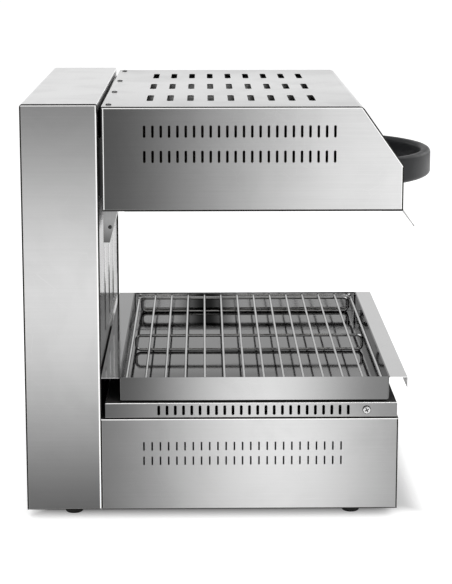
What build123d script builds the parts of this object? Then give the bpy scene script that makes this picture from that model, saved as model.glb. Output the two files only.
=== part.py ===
from build123d import *
import os
from math import cos, radians, sin

# Lift-type cheese melter. A column at the back carries a heated hood that slides down over a base
# with a drip tray and a wire rack. Millimetres, +Z up, the front towards -Y, the origin under the
# middle of the whole object at the height of the surface it stands on.
# A "reach" is a distance forward of the column's back, and an "offset" one forward of the column's
# front. A "height" is above the casing's underside, and an "inset" is inward from the casing's side.

# ---- Casing -----------------------------------------------------------------------------------
WIDTH = 450.0
SHEET = 1.0
PANEL_INSET = 0.6
EDGE_BEND = 1.6
FOOT_HEIGHT = 12.5
COLUMN_DEPTH = 91.0
COLUMN_HEIGHT = 499.0
COLUMN_CORNER = 4.0
COLUMN_FLANGE = 14.0
COLUMN_LIP = 11.0
PANEL_GAP = 0.3
BASE_DEPTH = 361.5
BASE_HEIGHT = 114.6
BASE_FLANGE = 19.0
FLOOR_THICKNESS = 1.2

# ---- Slots pressed through the casings ----------------------------------------------------------
SLOT_PITCH = 10.0
BASE_SLOT = (10.6, 2.0)
BASE_SLOT_COUNT = 25
BASE_SLOT_OFFSET = 172.0
BASE_SLOT_DROPS = (34.5, 52.8)
SLOT_END = 0.3
BACK_SLOT = (40.0, 4.0)
BACK_SLOT_COUNT = 6
BACK_SLOT_DROPS = (79.0, 199.0)
BACK_SLOT_LOW = 60.0
FLOOR_SLOT = (60.0, 5.0)
FLOOR_SLOT_COUNT = 7
FLOOR_SLOT_PITCH = 20.0
FLOOR_SLOT_OFFSET = 144.0

# ---- Deck: the folded pan on top of the base -----------------------------------------------------
DECK_INSET = 1.0
DECK_BACK_GAP = 5.5
DECK_FRONT_INSET = 1.7
DECK_HEIGHT = 18.4
DECK_LIP = 14.0
DECK_SLOT = (12.3, 3.5)
DECK_SLOT_COUNT = 24
DECK_SLOT_OFFSET = 185.3
DECK_SCREW_SETBACK = 37.1
SEAL_HEIGHT = 1.3
SEAL_INSET = 6.0
SEAL_WIDTH = 19.0

# ---- Drip tray -------------------------------------------------------------------------------------
TRAY_SIDE_GAP = 3.0
TRAY_BACK_SETBACK = 17.3
TRAY_FRONT_SETBACK = 9.9
TRAY_HEIGHT = 29.4
TRAY_SHEET = 1.0
TRAY_CORNER = 3.0
TRAY_BACK_FLANGE = 22.1
TRAY_FRONT_FLANGE = 22.6
TRAY_LIP = 13.8
RUNNER_HEIGHT = 2.0
RUNNER_WIDTH = 18.0
RUNNER_LENGTH = 300.0
RUNNER_INSET = 35.0
SLIDE_GAP = 0.1

# ---- Wire rack -------------------------------------------------------------------------------------
RACK_ROD = 4.0
RACK_WIRE = 3.0
RACK_WIRE_COUNT = 12
RACK_WIRE_PITCH = 24.0
RACK_SIDE_GAP = 7.55
RACK_END_GAP = 1.0
RACK_DROP = 19.3
RACK_CORNER = 7.0
LOOP_CORNER = 6.3
RACK_FLOOR_GAP = 0.3
ROD_FACES = 8
WIRE_END_GAP = 4.0

# ---- Hood --------------------------------------------------------------------------------------------
HOOD_GAP = 5.0
HOOD_OVERHANG = 1.0
HOOD_TOP_DROP = 3.4
HOOD_HEIGHT = 125.2
HOOD_BROW = 49.6
HOOD_FRONT_HEIGHT = 55.1
HOOD_TOP_BEND = 9.0
HOOD_FRONT_BEND = 3.0
HOOD_BOTTOM_LIP = 26.0
HOOD_SIDE_FLANGE = 12.0
HOOD_SLOT = (14.6, 3.1)
HOOD_SLOT_PITCH = 9.8
HOOD_SLOT_COUNT = 24
HOOD_SLOT_OFFSET = 168.1
HOOD_SLOT_RISES = (95.6, 65.6)
VENT = (62.0, 8.0)
VENT_PITCH_X = 135.0
VENT_PITCH_Y = 24.7
VENT_ROWS = 3
VENTS_PER_ROW = 9
VENT_OFFSET = 159.0
SHIELD_DROP = 10.0
SHIELD_INSET = 2.0
INSULATION_HEIGHT = 22.0
REFLECTOR_SHEET = 0.8
REFLECTOR_HEIGHT = 26.0
REFLECTOR_INSET = 11.0
REFLECTOR_SLOPE = 12.0
SKIRT_DROP = 40.9
SKIRT_LIP = 7.5
SKIRT_TOP = 17.5
SKIRT_END_INSET = 18.0
FLAP_DROP = 19.7
FLAP_REACH = 15.0
FLAP_SEAT = 18.0
FLAP_END_INSET = 8.0

# ---- Handle --------------------------------------------------------------------------------------------
HANDLE_SPAN = 232.0
HANDLE_BOW = 61.5
HANDLE_THICKNESS = 13.0
HANDLE_HEIGHT = 33.5
HANDLE_RISE = 12.6
HANDLE_EDGE = 5.0
HANDLE_SCREW_DEPTH = 11.0

# ---- Heating elements ------------------------------------------------------------------------------------
ELEMENT_TUBE = 8.0
ELEMENT_PITCH = 60.0
ELEMENT_SPREAD = 140.0
ELEMENT_INSET = 29.0
ELEMENT_DROP = 14.0
ELEMENT_TAIL = 14.0
ELEMENT_BEND = 12.0
ELEMENT_HOLE_GAP = 0.5
CLIP_X = (-90.0, 90.0)
CLIP_WIDTH = 7.0
CLIP_WALL = 1.2
CLIP_GAP = 0.05

# ---- Lift -----------------------------------------------------------------------------------------------
LIFT_TRAVEL = 150.0
ROD_DIAMETER = 12.0
ROD_INSET = 75.0
ROD_SETBACK = 39.0
ROD_END_DROP = 29.0
ROD_SOCKET = 12.0
BUSH_GAP = 0.05
SHOE_SIZE = (34.0, 28.0, 60.0)
CARRIAGE_THICKNESS = 3.0
CARRIAGE_INSET = 19.0
CARRIAGE_RISE = 14.6
CARRIAGE_HEIGHT = 70.0
ARM_INSET = 28.5
ARM_THICKNESS = 4.0
ARM_FLANGE = (30.0, 3.0)
GUIDE_SLOT_WIDTH = 13.0
GUIDE_SLOT_SPARE = (34.0, 27.0)
FRONT_PANEL_OVERLAP = 18.6
BEAD_X = (-90.0, 0.0, 90.0)
BEAD_WIDTH = 8.0
BEAD_RISE = 0.8
BEAD_START = 75.4
BEAD_END = 159.0
BRACKET_THICKNESS = 3.0
BRACKET_DROP = 38.0
BRACKET_FLANGE = 15.0
BRACKET_BACK_REACH = 20.0
FOOT_BLOCK = (40.0, 30.0, 16.0)
PULLEY_X = 60.0
PULLEY_PITCH_RADIUS = 20.0
PULLEY_RIM_RADIUS = 22.5
PULLEY_WIDTH = 10.0
PULLEY_RISE = 10.0
PULLEY_SIDE_GAP = 1.0
PIN_DIAMETER = 8.0
PIN_HEAD = (12.0, 2.0)
EAR_THICKNESS = 2.0
EAR_WIDTH = 24.0
EAR_FOOT = 12.0
CABLE_DIAMETER = 2.0
GROOVE_GAP = 0.1
WEIGHT_SIZE = (190.0, 38.0, 138.0)
WEIGHT_BOTTOM = 20.0
WEIGHT_EDGE = 3.0
GUIDE_SHEET = 1.5
GUIDE_GAP = 1.0
GUIDE_GRIP = 11.0

# ---- Feet, screws and electrical pieces --------------------------------------------------------------------
FOOT_DIAMETER = 24.0
FOOT_TAPER = 1.5
FOOT_EDGE = 1.5
FOOT_INSET = 30.0
FOOT_SETBACKS = (55.0, 54.5)
FOOT_SCREW = 5.0
FOOT_SCREW_HEAD = (9.0, 3.0)
FOOT_SCREW_RECESS = 7.0
NUT_HEIGHT = 4.0
SCREW_HEAD = (10.0, 2.6)
SCREW_SHANK = 5.0
SMALL_HEAD = (7.0, 1.8)
SMALL_SHANK = 3.5
SCREW_LENGTH = 7.0
HOOD_SCREW_COUNT = 4
HOOD_SCREW_INSET = 20.0
HOOD_SCREW_SETBACK = 7.7
GLAND_INSET = 45.0
GLAND_HEIGHT = 34.0
GLAND_REACH = 16.0
GLAND_THREAD = 16.0
GLAND_BORE = 9.0
GLAND_HEX = 22.0
GLAND_NUT = 5.0
TERMINAL_SIZE = (46.0, 22.0, 18.0)
TERMINAL_OFFSET = 39.0
CONTROL_DROP = 62.6
TIMER_INSET = 65.0
KNOB_PITCH = 85.0
SWITCH_PITCH = 70.0
THERMOSTAT_SIZE = (38.0, 30.0, 40.0)
TIMER_DIAMETER = 50.0
TIMER_DEPTH = 28.0
SPINDLE_DIAMETER = 6.0
SPINDLE_GAP = 0.05
SPINDLE_PROUD = 13.0
KNOB_DIAMETER = 42.0
KNOB_HEIGHT = 18.0
KNOB_GAP = 1.0
KNOB_SKIRT = 4.0
KNOB_TAPER = 2.0
KNOB_GRIP = 8.0
LAMP_DROP = 22.6
LAMP_DIAMETER = 9.0
LAMP_BEZEL = (12.5, 2.0)
SWITCH_BEZEL = (25.0, 35.0, 2.0)
SWITCH_BODY = (21.0, 30.0, 24.0)
ROCKER_WIDTH = 16.0
ROCKER_HALF = 11.8
ROCKER_GAP = 0.5
ROCKER_TILT = 10.0
ROCKER_PIVOT_DEPTH = 3.0

# ---- Places that follow from the sizes above ----------------------------------------------------------------
BASE_FRONT_REACH = COLUMN_DEPTH + BASE_DEPTH
HOOD_BACK_REACH = COLUMN_DEPTH + HOOD_GAP
HOOD_FRONT_REACH = BASE_FRONT_REACH + HOOD_OVERHANG
HOOD_DEPTH = HOOD_FRONT_REACH - HOOD_BACK_REACH
HOOD_TOP_DEPTH = HOOD_DEPTH - HOOD_BROW
HOOD_TOP = COLUMN_HEIGHT - HOOD_TOP_DROP
HOOD_BOTTOM = HOOD_TOP - HOOD_HEIGHT
HANDLE_FRONT_REACH = HOOD_FRONT_REACH + HANDLE_BOW
BACK_Y = (HANDLE_FRONT_REACH - GLAND_REACH) / 2
SIDE_INNER_X = WIDTH / 2 - PANEL_INSET - SHEET
BASE_SLOT_REACH = COLUMN_DEPTH + BASE_SLOT_OFFSET
BASE_SLOT_HEIGHTS = [BASE_HEIGHT - drop for drop in BASE_SLOT_DROPS]
BACK_SLOT_HEIGHTS = [COLUMN_HEIGHT - drop for drop in BACK_SLOT_DROPS] + [BACK_SLOT_LOW]
FLOOR_SLOT_REACH = COLUMN_DEPTH + FLOOR_SLOT_OFFSET
DECK_BOTTOM = BASE_HEIGHT + SEAL_HEIGHT
DECK_TOP = DECK_BOTTOM + DECK_HEIGHT
DECK_BACK_REACH = COLUMN_DEPTH + DECK_BACK_GAP
DECK_FRONT_REACH = BASE_FRONT_REACH - DECK_FRONT_INSET
DECK_SLOT_REACH = COLUMN_DEPTH + DECK_SLOT_OFFSET
DECK_SCREW_REACH = DECK_FRONT_REACH - DECK_SCREW_SETBACK
TRAY_LENGTH = WIDTH - 2 * TRAY_SIDE_GAP
TRAY_BACK_REACH = DECK_BACK_REACH + TRAY_BACK_SETBACK
TRAY_FRONT_REACH = DECK_FRONT_REACH - TRAY_FRONT_SETBACK
TRAY_DEPTH = TRAY_FRONT_REACH - TRAY_BACK_REACH
TRAY_BOTTOM = DECK_TOP + RUNNER_HEIGHT + SLIDE_GAP
TRAY_TOP = TRAY_BOTTOM + TRAY_HEIGHT
RUNNER_X = WIDTH / 2 - RUNNER_INSET
RACK_DEPTH = TRAY_DEPTH - 2 * RACK_SIDE_GAP
RACK_LOW_HEIGHT = TRAY_BOTTOM + TRAY_SHEET + RACK_FLOOR_GAP + RACK_ROD / 2
RACK_HIGH_HEIGHT = RACK_LOW_HEIGHT + RACK_DROP
RACK_MID_REACH = TRAY_BACK_REACH + TRAY_DEPTH / 2
RACK_HALF_LENGTH = TRAY_LENGTH / 2 - TRAY_SHEET - RACK_END_GAP - RACK_ROD / 2
FRONT_PANEL_REACH = COLUMN_DEPTH - SHEET
FRONT_PANEL_BOTTOM = BASE_HEIGHT - FRONT_PANEL_OVERLAP
BEAD_BOTTOM = BASE_HEIGHT + BEAD_START
BEAD_TOP = COLUMN_HEIGHT - BEAD_END
ROD_X = WIDTH / 2 - ROD_INSET
ROD_REACH = COLUMN_DEPTH - ROD_SETBACK
ROD_END_HEIGHT = COLUMN_HEIGHT - ROD_END_DROP
CARRIAGE_LENGTH = WIDTH - 2 * CARRIAGE_INSET
CARRIAGE_REACH = ROD_REACH + SHOE_SIZE[1] / 2
CARRIAGE_BOTTOM = HOOD_BOTTOM + CARRIAGE_RISE
CARRIAGE_TOP = CARRIAGE_BOTTOM + CARRIAGE_HEIGHT
ARM_X = WIDTH / 2 - ARM_INSET
GUIDE_SLOT_BOTTOM = CARRIAGE_BOTTOM - LIFT_TRAVEL - GUIDE_SLOT_SPARE[0]
GUIDE_SLOT_TOP = CARRIAGE_TOP + GUIDE_SLOT_SPARE[1]
BRACKET_HEIGHT = COLUMN_HEIGHT - BRACKET_DROP
PULLEY_REACH = CARRIAGE_REACH + CARRIAGE_THICKNESS / 2 - PULLEY_PITCH_RADIUS
PULLEY_HEIGHT = BRACKET_HEIGHT + BRACKET_THICKNESS + PULLEY_RISE
CABLE_BACK_REACH = PULLEY_REACH - PULLEY_PITCH_RADIUS
FOOT_X = WIDTH / 2 - FOOT_INSET
FOOT_REACHES = (FOOT_SETBACKS[0], BASE_FRONT_REACH - FOOT_SETBACKS[1])
GLAND_X = WIDTH / 2 - GLAND_INSET
TERMINAL_REACH = COLUMN_DEPTH + TERMINAL_OFFSET
CONTROL_HEIGHT = BASE_HEIGHT - CONTROL_DROP
LAMP_HEIGHT = BASE_HEIGHT - LAMP_DROP
TIMER_X = WIDTH / 2 - TIMER_INSET
THERMOSTAT_X = TIMER_X - KNOB_PITCH
SWITCH_X = THERMOSTAT_X - SWITCH_PITCH
HOOD_SCREW_REACH = HOOD_BACK_REACH + HOOD_SCREW_SETBACK
HOOD_SCREW_PITCH = (WIDTH - 2 * HOOD_SCREW_INSET) / (HOOD_SCREW_COUNT - 1)
HOOD_SCREW_XS = [(i - (HOOD_SCREW_COUNT - 1) / 2) * HOOD_SCREW_PITCH for i in range(HOOD_SCREW_COUNT)]
HOOD_SLOT_REACH = COLUMN_DEPTH + HOOD_SLOT_OFFSET
HOOD_SLOT_HEIGHTS = [HOOD_BOTTOM + rise for rise in HOOD_SLOT_RISES]
VENT_REACH = COLUMN_DEPTH + VENT_OFFSET
REFLECTOR_BOTTOM = HOOD_BOTTOM + SHEET
REFLECTOR_TOP = REFLECTOR_BOTTOM + REFLECTOR_HEIGHT
ELEMENT_LENGTH = WIDTH - 2 * ELEMENT_INSET
ELEMENT_HEIGHT = REFLECTOR_TOP - ELEMENT_DROP
ELEMENT_MID_REACH = HOOD_BACK_REACH + HOOD_DEPTH / 2
HANDLE_HEIGHT_MID = HOOD_BOTTOM + HANDLE_RISE + HANDLE_HEIGHT / 2
HANDLE_RADIUS = (HANDLE_SPAN ** 2 / 4 + HANDLE_BOW ** 2) / (2 * HANDLE_BOW)
HANDLE_CENTRE_REACH = HANDLE_FRONT_REACH - HANDLE_RADIUS
HANDLE_SCREW_X = HANDLE_SPAN / 2 - HANDLE_THICKNESS * 0.62
SIDES = {"left": -1, "right": 1}


def y_at(reach):
    """Y of a point this far forward of the column's back."""
    return BACK_Y - reach


def z_at(height):
    """Z of a point this high above the casing's underside."""
    return FOOT_HEIGHT + height


def side_plane(x):
    """Upright plane across the object at X, with Y and Z as its own axes."""
    return Plane.YZ.offset(x)


def level_plane(height):
    """Level plane this high above the casing's underside."""
    return Plane.XY.offset(z_at(height))


def front_plane(reach):
    """Upright plane facing the front, this far forward of the column's back."""
    return Plane.XZ.offset(-y_at(reach))


def corners(points):
    """Turns (reach, height) pairs into the points of a side plane."""
    return [(y_at(reach), z_at(height)) for reach, height in points]


def save(piece, label):
    """Labels a finished piece and writes it under its own name."""
    piece.part.label = label
    export_step(piece.part, f"parts/{label}.step")


def rod_section(radius):
    """Many-sided section of a rod or a bore, with flats across the axes at the radius."""
    RegularPolygon(radius, ROD_FACES, major_radius=False, rotation=180 / ROD_FACES)


def screw_hole(diameter):
    """Clearance hole for a screw's shank, cut out of a sketch."""
    RegularPolygon(diameter / 2, ROD_FACES, major_radius=False, mode=Mode.SUBTRACT)


def pan_head(plane, head, shank, length):
    """Pan head screw: the head stands on the plane and the shank goes down from it."""
    with BuildPart() as screw:
        with BuildSketch(plane):
            Circle(head[0] / 2)
        extrude(amount=head[1])
        chamfer(screw.faces().sort_by(Axis(plane.origin, plane.z_dir))[-1].edges(), head[1] * 0.5)
        with BuildSketch(plane):
            RegularPolygon(shank / 2, ROD_FACES)
        extrude(amount=-length)
    return screw.part


# ---- Base -----------------------------------------------------------------------------------------------------

def make_base_floor():
    """Floor of the base and the column, with upturned edges, cooling slots and foot screw holes."""
    back = SHEET
    step = COLUMN_DEPTH + PANEL_GAP
    front = BASE_FRONT_REACH - 2 * SHEET
    with BuildPart() as floor:
        with BuildSketch(level_plane(0)):
            with Locations((0, y_at((back + front) / 2))):
                Rectangle(2 * SIDE_INNER_X, front - back)
            with Locations((0, y_at((step + front) / 2))):
                Rectangle(WIDTH - 2 * SHEET, front - step)
            with Locations((0, y_at(FLOOR_SLOT_REACH))):
                with GridLocations(0, FLOOR_SLOT_PITCH, 1, FLOOR_SLOT_COUNT):
                    Rectangle(*FLOOR_SLOT, mode=Mode.SUBTRACT)
            for reach in FOOT_REACHES:
                with Locations((-FOOT_X, y_at(reach)), (FOOT_X, y_at(reach))):
                    screw_hole(FOOT_SCREW)
        extrude(amount=FLOOR_THICKNESS)
    save(floor, "base_floor")


def make_base_sides():
    """Side panels of the base: two rows of slots, a folded front edge and a folded top edge."""
    front = BASE_FRONT_REACH - SHEET
    back = COLUMN_DEPTH + PANEL_GAP
    for side, sign in SIDES.items():
        outer = sign * WIDTH / 2
        inner = outer - sign * SHEET
        with BuildPart() as panel:
            with BuildSketch(level_plane(0)):
                with BuildLine():
                    Polyline(
                        (outer, y_at(back)),
                        (outer, y_at(front)),
                        (outer - sign * BASE_FLANGE, y_at(front)),
                        (outer - sign * BASE_FLANGE, y_at(front - SHEET)),
                        (inner, y_at(front - SHEET)),
                        (inner, y_at(back)),
                        close=True,
                    )
                make_face()
            extrude(amount=BASE_HEIGHT)
            with BuildSketch(level_plane(BASE_HEIGHT)):
                with Locations((outer - sign * BASE_FLANGE / 2, y_at((front + back) / 2))):
                    Rectangle(BASE_FLANGE, front - back)
            extrude(amount=-SHEET)
            with BuildSketch(side_plane(inner)):
                for height in BASE_SLOT_HEIGHTS:
                    with Locations((y_at(BASE_SLOT_REACH), z_at(height))):
                        with GridLocations(SLOT_PITCH, 0, BASE_SLOT_COUNT, 1):
                            Rectangle(BASE_SLOT[1], BASE_SLOT[0])
            extrude(amount=2 * SHEET, both=True, mode=Mode.SUBTRACT)
        save(panel, f"base_side_{side}")


def make_base_front_panel():
    """Front panel of the base with its openings for the spindles, the lamps and the switch."""
    with BuildPart() as panel:
        with BuildSketch(front_plane(BASE_FRONT_REACH - SHEET)):
            with Locations((0, z_at(BASE_HEIGHT / 2))):
                Rectangle(WIDTH, BASE_HEIGHT)
            with Locations((THERMOSTAT_X, z_at(CONTROL_HEIGHT)), (TIMER_X, z_at(CONTROL_HEIGHT))):
                Circle(SPINDLE_DIAMETER / 2 + ROCKER_GAP, mode=Mode.SUBTRACT)
            with Locations((THERMOSTAT_X, z_at(LAMP_HEIGHT)), (TIMER_X, z_at(LAMP_HEIGHT))):
                Circle(LAMP_DIAMETER / 2, mode=Mode.SUBTRACT)
            with Locations((SWITCH_X, z_at(CONTROL_HEIGHT))):
                Rectangle(SWITCH_BODY[0], SWITCH_BODY[1], mode=Mode.SUBTRACT)
        extrude(amount=SHEET)
        front_face = panel.faces().sort_by(Axis.Y)[0]
        chamfer(front_face.outer_wire().edges().filter_by(Axis.Z), SHEET * 0.4)
    save(panel, "base_front_panel")


def make_deck_seal():
    """Dark sealing frame between the base and the deck."""
    back = COLUMN_DEPTH + PANEL_GAP
    front = DECK_FRONT_REACH - SEAL_INSET
    with BuildPart() as seal:
        with BuildSketch(level_plane(BASE_HEIGHT)):
            with Locations((0, y_at((back + front) / 2))):
                Rectangle(WIDTH - 2 * SEAL_INSET, front - back)
                Rectangle(
                    WIDTH - 2 * SEAL_INSET - 2 * SEAL_WIDTH, front - back - 2 * SEAL_WIDTH, mode=Mode.SUBTRACT
                )
        extrude(amount=SEAL_HEIGHT)
    save(seal, "deck_seal")


def make_base_deck():
    """Deck under the tray: a pan with its rim turned down and in, and a row of slots along each side."""
    depth = DECK_FRONT_REACH - DECK_BACK_REACH
    middle = (DECK_FRONT_REACH + DECK_BACK_REACH) / 2
    width = WIDTH - 2 * DECK_INSET
    with BuildPart() as deck:
        with BuildSketch(level_plane(DECK_BOTTOM)):
            with Locations((0, y_at(middle))):
                Rectangle(width, depth)
        extrude(amount=DECK_HEIGHT)
        fillet(deck.faces().sort_by(Axis.Z)[-1].edges(), SHEET)
        with BuildSketch(level_plane(DECK_BOTTOM + SHEET)):
            with Locations((0, y_at(middle))):
                Rectangle(width - 2 * SHEET, depth - 2 * SHEET)
        extrude(amount=DECK_HEIGHT - 2 * SHEET, mode=Mode.SUBTRACT)
        with BuildSketch(level_plane(DECK_BOTTOM)):
            with Locations((0, y_at(middle))):
                Rectangle(width - 2 * DECK_LIP, depth - 2 * DECK_LIP)
        extrude(amount=SHEET, mode=Mode.SUBTRACT)
        with BuildSketch(side_plane(0)) as slots:
            with Locations((y_at(DECK_SLOT_REACH), z_at(DECK_BOTTOM + DECK_HEIGHT / 2))):
                with GridLocations(SLOT_PITCH, 0, DECK_SLOT_COUNT, 1):
                    Rectangle(DECK_SLOT[1], DECK_SLOT[0])
            chamfer(slots.vertices(), DECK_SLOT[1] * SLOT_END)
            with Locations((y_at(DECK_SCREW_REACH), z_at(DECK_BOTTOM + DECK_HEIGHT / 2))):
                rod_section(SCREW_SHANK / 2)
        extrude(amount=WIDTH, both=True, mode=Mode.SUBTRACT)
    save(deck, "base_deck")


def make_deck_screws():
    """Pan head screws, one through each side of the deck."""
    with BuildPart() as screws:
        for sign in SIDES.values():
            place = Plane(
                origin=(sign * (WIDTH / 2 - DECK_INSET), y_at(DECK_SCREW_REACH), z_at(DECK_BOTTOM + DECK_HEIGHT / 2)),
                x_dir=(0, 1, 0),
                z_dir=(sign, 0, 0),
            )
            add(pan_head(place, SCREW_HEAD, SCREW_SHANK, SCREW_LENGTH))
    save(screws, "deck_screws")


def make_tray_runners():
    """Two strips on the deck that the tray slides on."""
    with BuildPart() as runners:
        with BuildSketch(level_plane(DECK_TOP)):
            with Locations((-RUNNER_X, y_at(RACK_MID_REACH)), (RUNNER_X, y_at(RACK_MID_REACH))):
                SlotOverall(RUNNER_LENGTH, RUNNER_WIDTH, rotation=90)
        extrude(amount=RUNNER_HEIGHT)
    save(runners, "tray_runners")


def make_feet():
    """Rubber feet, each with a recess for its screw, and the screws with their nuts."""
    spots = [(x, y_at(reach)) for reach in FOOT_REACHES for x in (-FOOT_X, FOOT_X)]
    with BuildPart() as feet:
        with Locations(*spots):
            Cone(
                FOOT_DIAMETER / 2 - FOOT_TAPER, FOOT_DIAMETER / 2, FOOT_HEIGHT,
                align=(Align.CENTER, Align.CENTER, Align.MIN),
            )
        chamfer(feet.edges().group_by(Axis.Z)[0], FOOT_EDGE)
        with BuildSketch(Plane.XY):
            with Locations(*spots):
                Circle(FOOT_SCREW_HEAD[0] / 2 + ROCKER_GAP)
        extrude(amount=FOOT_SCREW_RECESS, mode=Mode.SUBTRACT)
        with BuildSketch(Plane.XY):
            with Locations(*spots):
                RegularPolygon(FOOT_SCREW / 2, ROD_FACES, major_radius=False)
        extrude(amount=FOOT_HEIGHT, mode=Mode.SUBTRACT)
    save(feet, "rubber_feet")

    with BuildPart() as screws:
        with BuildSketch(Plane.XY.offset(FOOT_SCREW_RECESS)):
            with Locations(*spots):
                Circle(FOOT_SCREW_HEAD[0] / 2)
        extrude(amount=-FOOT_SCREW_HEAD[1])
        with BuildSketch(Plane.XY.offset(FOOT_SCREW_RECESS)):
            with Locations(*spots):
                RegularPolygon(FOOT_SCREW / 2, ROD_FACES)
        extrude(amount=FOOT_HEIGHT - FOOT_SCREW_RECESS + FLOOR_THICKNESS + NUT_HEIGHT)
        with BuildSketch(level_plane(FLOOR_THICKNESS)):
            with Locations(*spots):
                RegularPolygon(FOOT_SCREW, 6)
        extrude(amount=NUT_HEIGHT)
    save(screws, "foot_screws")


# ---- Column ---------------------------------------------------------------------------------------------------

def make_column_wrap():
    """Back and top of the column in one sheet, with a turned-down front lip."""
    with BuildPart() as wrap:
        with BuildSketch(Plane.YZ):
            with BuildLine():
                FilletPolyline(
                    *corners([
                        (0, 0),
                        (0, COLUMN_HEIGHT),
                        (COLUMN_DEPTH, COLUMN_HEIGHT),
                        (COLUMN_DEPTH, COLUMN_HEIGHT - COLUMN_LIP),
                    ]),
                    radius=[COLUMN_CORNER, EDGE_BEND],
                )
                offset(amount=SHEET, side=Side.LEFT)
            make_face()
        extrude(amount=WIDTH / 2, both=True)
        with BuildSketch(front_plane(0)):
            for height in BACK_SLOT_HEIGHTS:
                with Locations((0, z_at(height))):
                    with GridLocations(BACK_SLOT[0] * 1.4, 0, BACK_SLOT_COUNT, 1):
                        Rectangle(*BACK_SLOT)
            with Locations((GLAND_X, z_at(GLAND_HEIGHT))):
                Circle(GLAND_THREAD / 2)
        extrude(amount=2 * SHEET, mode=Mode.SUBTRACT)
    save(wrap, "column_wrap")


def make_column_sides():
    """Side panels of the column, set in from the wrap's edge, with a flange folded behind the front."""
    for side, sign in SIDES.items():
        outer = sign * (SIDE_INNER_X + SHEET)
        inner = sign * SIDE_INNER_X
        with BuildPart() as panel:
            with BuildSketch(side_plane(min(outer, inner))):
                with BuildLine():
                    FilletPolyline(
                        *corners([
                            (SHEET, 0),
                            (SHEET, COLUMN_HEIGHT - SHEET),
                            (COLUMN_DEPTH - SHEET, COLUMN_HEIGHT - SHEET),
                            (COLUMN_DEPTH - SHEET, 0),
                        ]),
                        radius=[COLUMN_CORNER - SHEET, EDGE_BEND - SHEET],
                    )
                    Line(*corners([(COLUMN_DEPTH - SHEET, 0), (SHEET, 0)]))
                make_face()
            extrude(amount=SHEET)
            with BuildSketch(level_plane(FLOOR_THICKNESS)):
                with Locations((outer - sign * COLUMN_FLANGE / 2, y_at(COLUMN_DEPTH - SHEET / 2))):
                    Rectangle(COLUMN_FLANGE, SHEET)
            extrude(amount=COLUMN_HEIGHT - COLUMN_LIP - PANEL_GAP - FLOOR_THICKNESS)
            outer_edge = panel.edges().filter_by(Axis.Z).sort_by(Axis.Y)[:2].sort_by(Axis.X)
            fillet(outer_edge[0 if sign < 0 else -1], SHEET * 0.8)
        save(panel, f"column_side_{side}")


def make_column_front_panel():
    """Front of the column: polished sheet behind the flanges, with guide slots and pressed beads."""
    height = COLUMN_HEIGHT - SHEET - EDGE_BEND - FRONT_PANEL_BOTTOM
    with BuildPart() as panel:
        with BuildSketch(front_plane(FRONT_PANEL_REACH - SHEET)):
            with Locations((0, z_at(FRONT_PANEL_BOTTOM + height / 2))):
                Rectangle(2 * SIDE_INNER_X - 2 * PANEL_GAP, height)
            for sign in SIDES.values():
                with Locations((sign * ARM_X, z_at((GUIDE_SLOT_BOTTOM + GUIDE_SLOT_TOP) / 2))):
                    SlotOverall(
                        GUIDE_SLOT_TOP - GUIDE_SLOT_BOTTOM, GUIDE_SLOT_WIDTH, rotation=90, mode=Mode.SUBTRACT
                    )
        extrude(amount=SHEET)
        with BuildSketch(front_plane(FRONT_PANEL_REACH)):
            for x in BEAD_X:
                with Locations((x, z_at((BEAD_BOTTOM + BEAD_TOP) / 2))):
                    SlotOverall(BEAD_TOP - BEAD_BOTTOM, BEAD_WIDTH, rotation=90)
        extrude(amount=BEAD_RISE, taper=60)
    save(panel, "column_front_panel")


def make_guide_rods():
    """Upright rods that the carriage slides on, and the blocks that hold their feet."""
    foot_top = FLOOR_THICKNESS + FOOT_BLOCK[2]
    with BuildPart() as rods:
        with BuildSketch(level_plane(foot_top - ROD_SOCKET)):
            with Locations((-ROD_X, y_at(ROD_REACH)), (ROD_X, y_at(ROD_REACH))):
                Circle(ROD_DIAMETER / 2)
        extrude(amount=ROD_END_HEIGHT - foot_top + ROD_SOCKET)
        chamfer(rods.edges().group_by(Axis.Z)[-1], 1)
    save(rods, "guide_rods")
    with BuildPart() as blocks:
        with BuildSketch(level_plane(FLOOR_THICKNESS)):
            with Locations((-ROD_X, y_at(ROD_REACH)), (ROD_X, y_at(ROD_REACH))):
                Rectangle(FOOT_BLOCK[0], FOOT_BLOCK[1])
        extrude(amount=FOOT_BLOCK[2])
        with BuildSketch(level_plane(foot_top)):
            with Locations((-ROD_X, y_at(ROD_REACH)), (ROD_X, y_at(ROD_REACH))):
                Circle(ROD_DIAMETER / 2)
        extrude(amount=-ROD_SOCKET, mode=Mode.SUBTRACT)
    save(blocks, "rod_foot_blocks")


def make_top_bracket():
    """Cross plate at the column's top that steadies the rods and carries the pulleys."""
    back = BRACKET_BACK_REACH
    front = FRONT_PANEL_REACH - SHEET - PANEL_GAP
    with BuildPart() as bracket:
        with BuildSketch(level_plane(BRACKET_HEIGHT)):
            with Locations((0, y_at((back + front) / 2))):
                Rectangle(2 * SIDE_INNER_X, front - back)
            with Locations((-ROD_X, y_at(ROD_REACH)), (ROD_X, y_at(ROD_REACH))):
                Circle(ROD_DIAMETER / 2, mode=Mode.SUBTRACT)
            with Locations((-PULLEY_X, y_at(PULLEY_REACH)), (PULLEY_X, y_at(PULLEY_REACH))):
                Rectangle(
                    PULLEY_WIDTH + 2 * PULLEY_SIDE_GAP, 2 * PULLEY_RIM_RADIUS + 2 * PULLEY_SIDE_GAP,
                    mode=Mode.SUBTRACT,
                )
        extrude(amount=BRACKET_THICKNESS)
        with BuildSketch(level_plane(BRACKET_HEIGHT)):
            for sign in SIDES.values():
                with Locations((sign * (SIDE_INNER_X - BRACKET_THICKNESS / 2), y_at((back + front) / 2))):
                    Rectangle(BRACKET_THICKNESS, front - back)
        extrude(amount=BRACKET_FLANGE)
    save(bracket, "rod_top_bracket")


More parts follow.
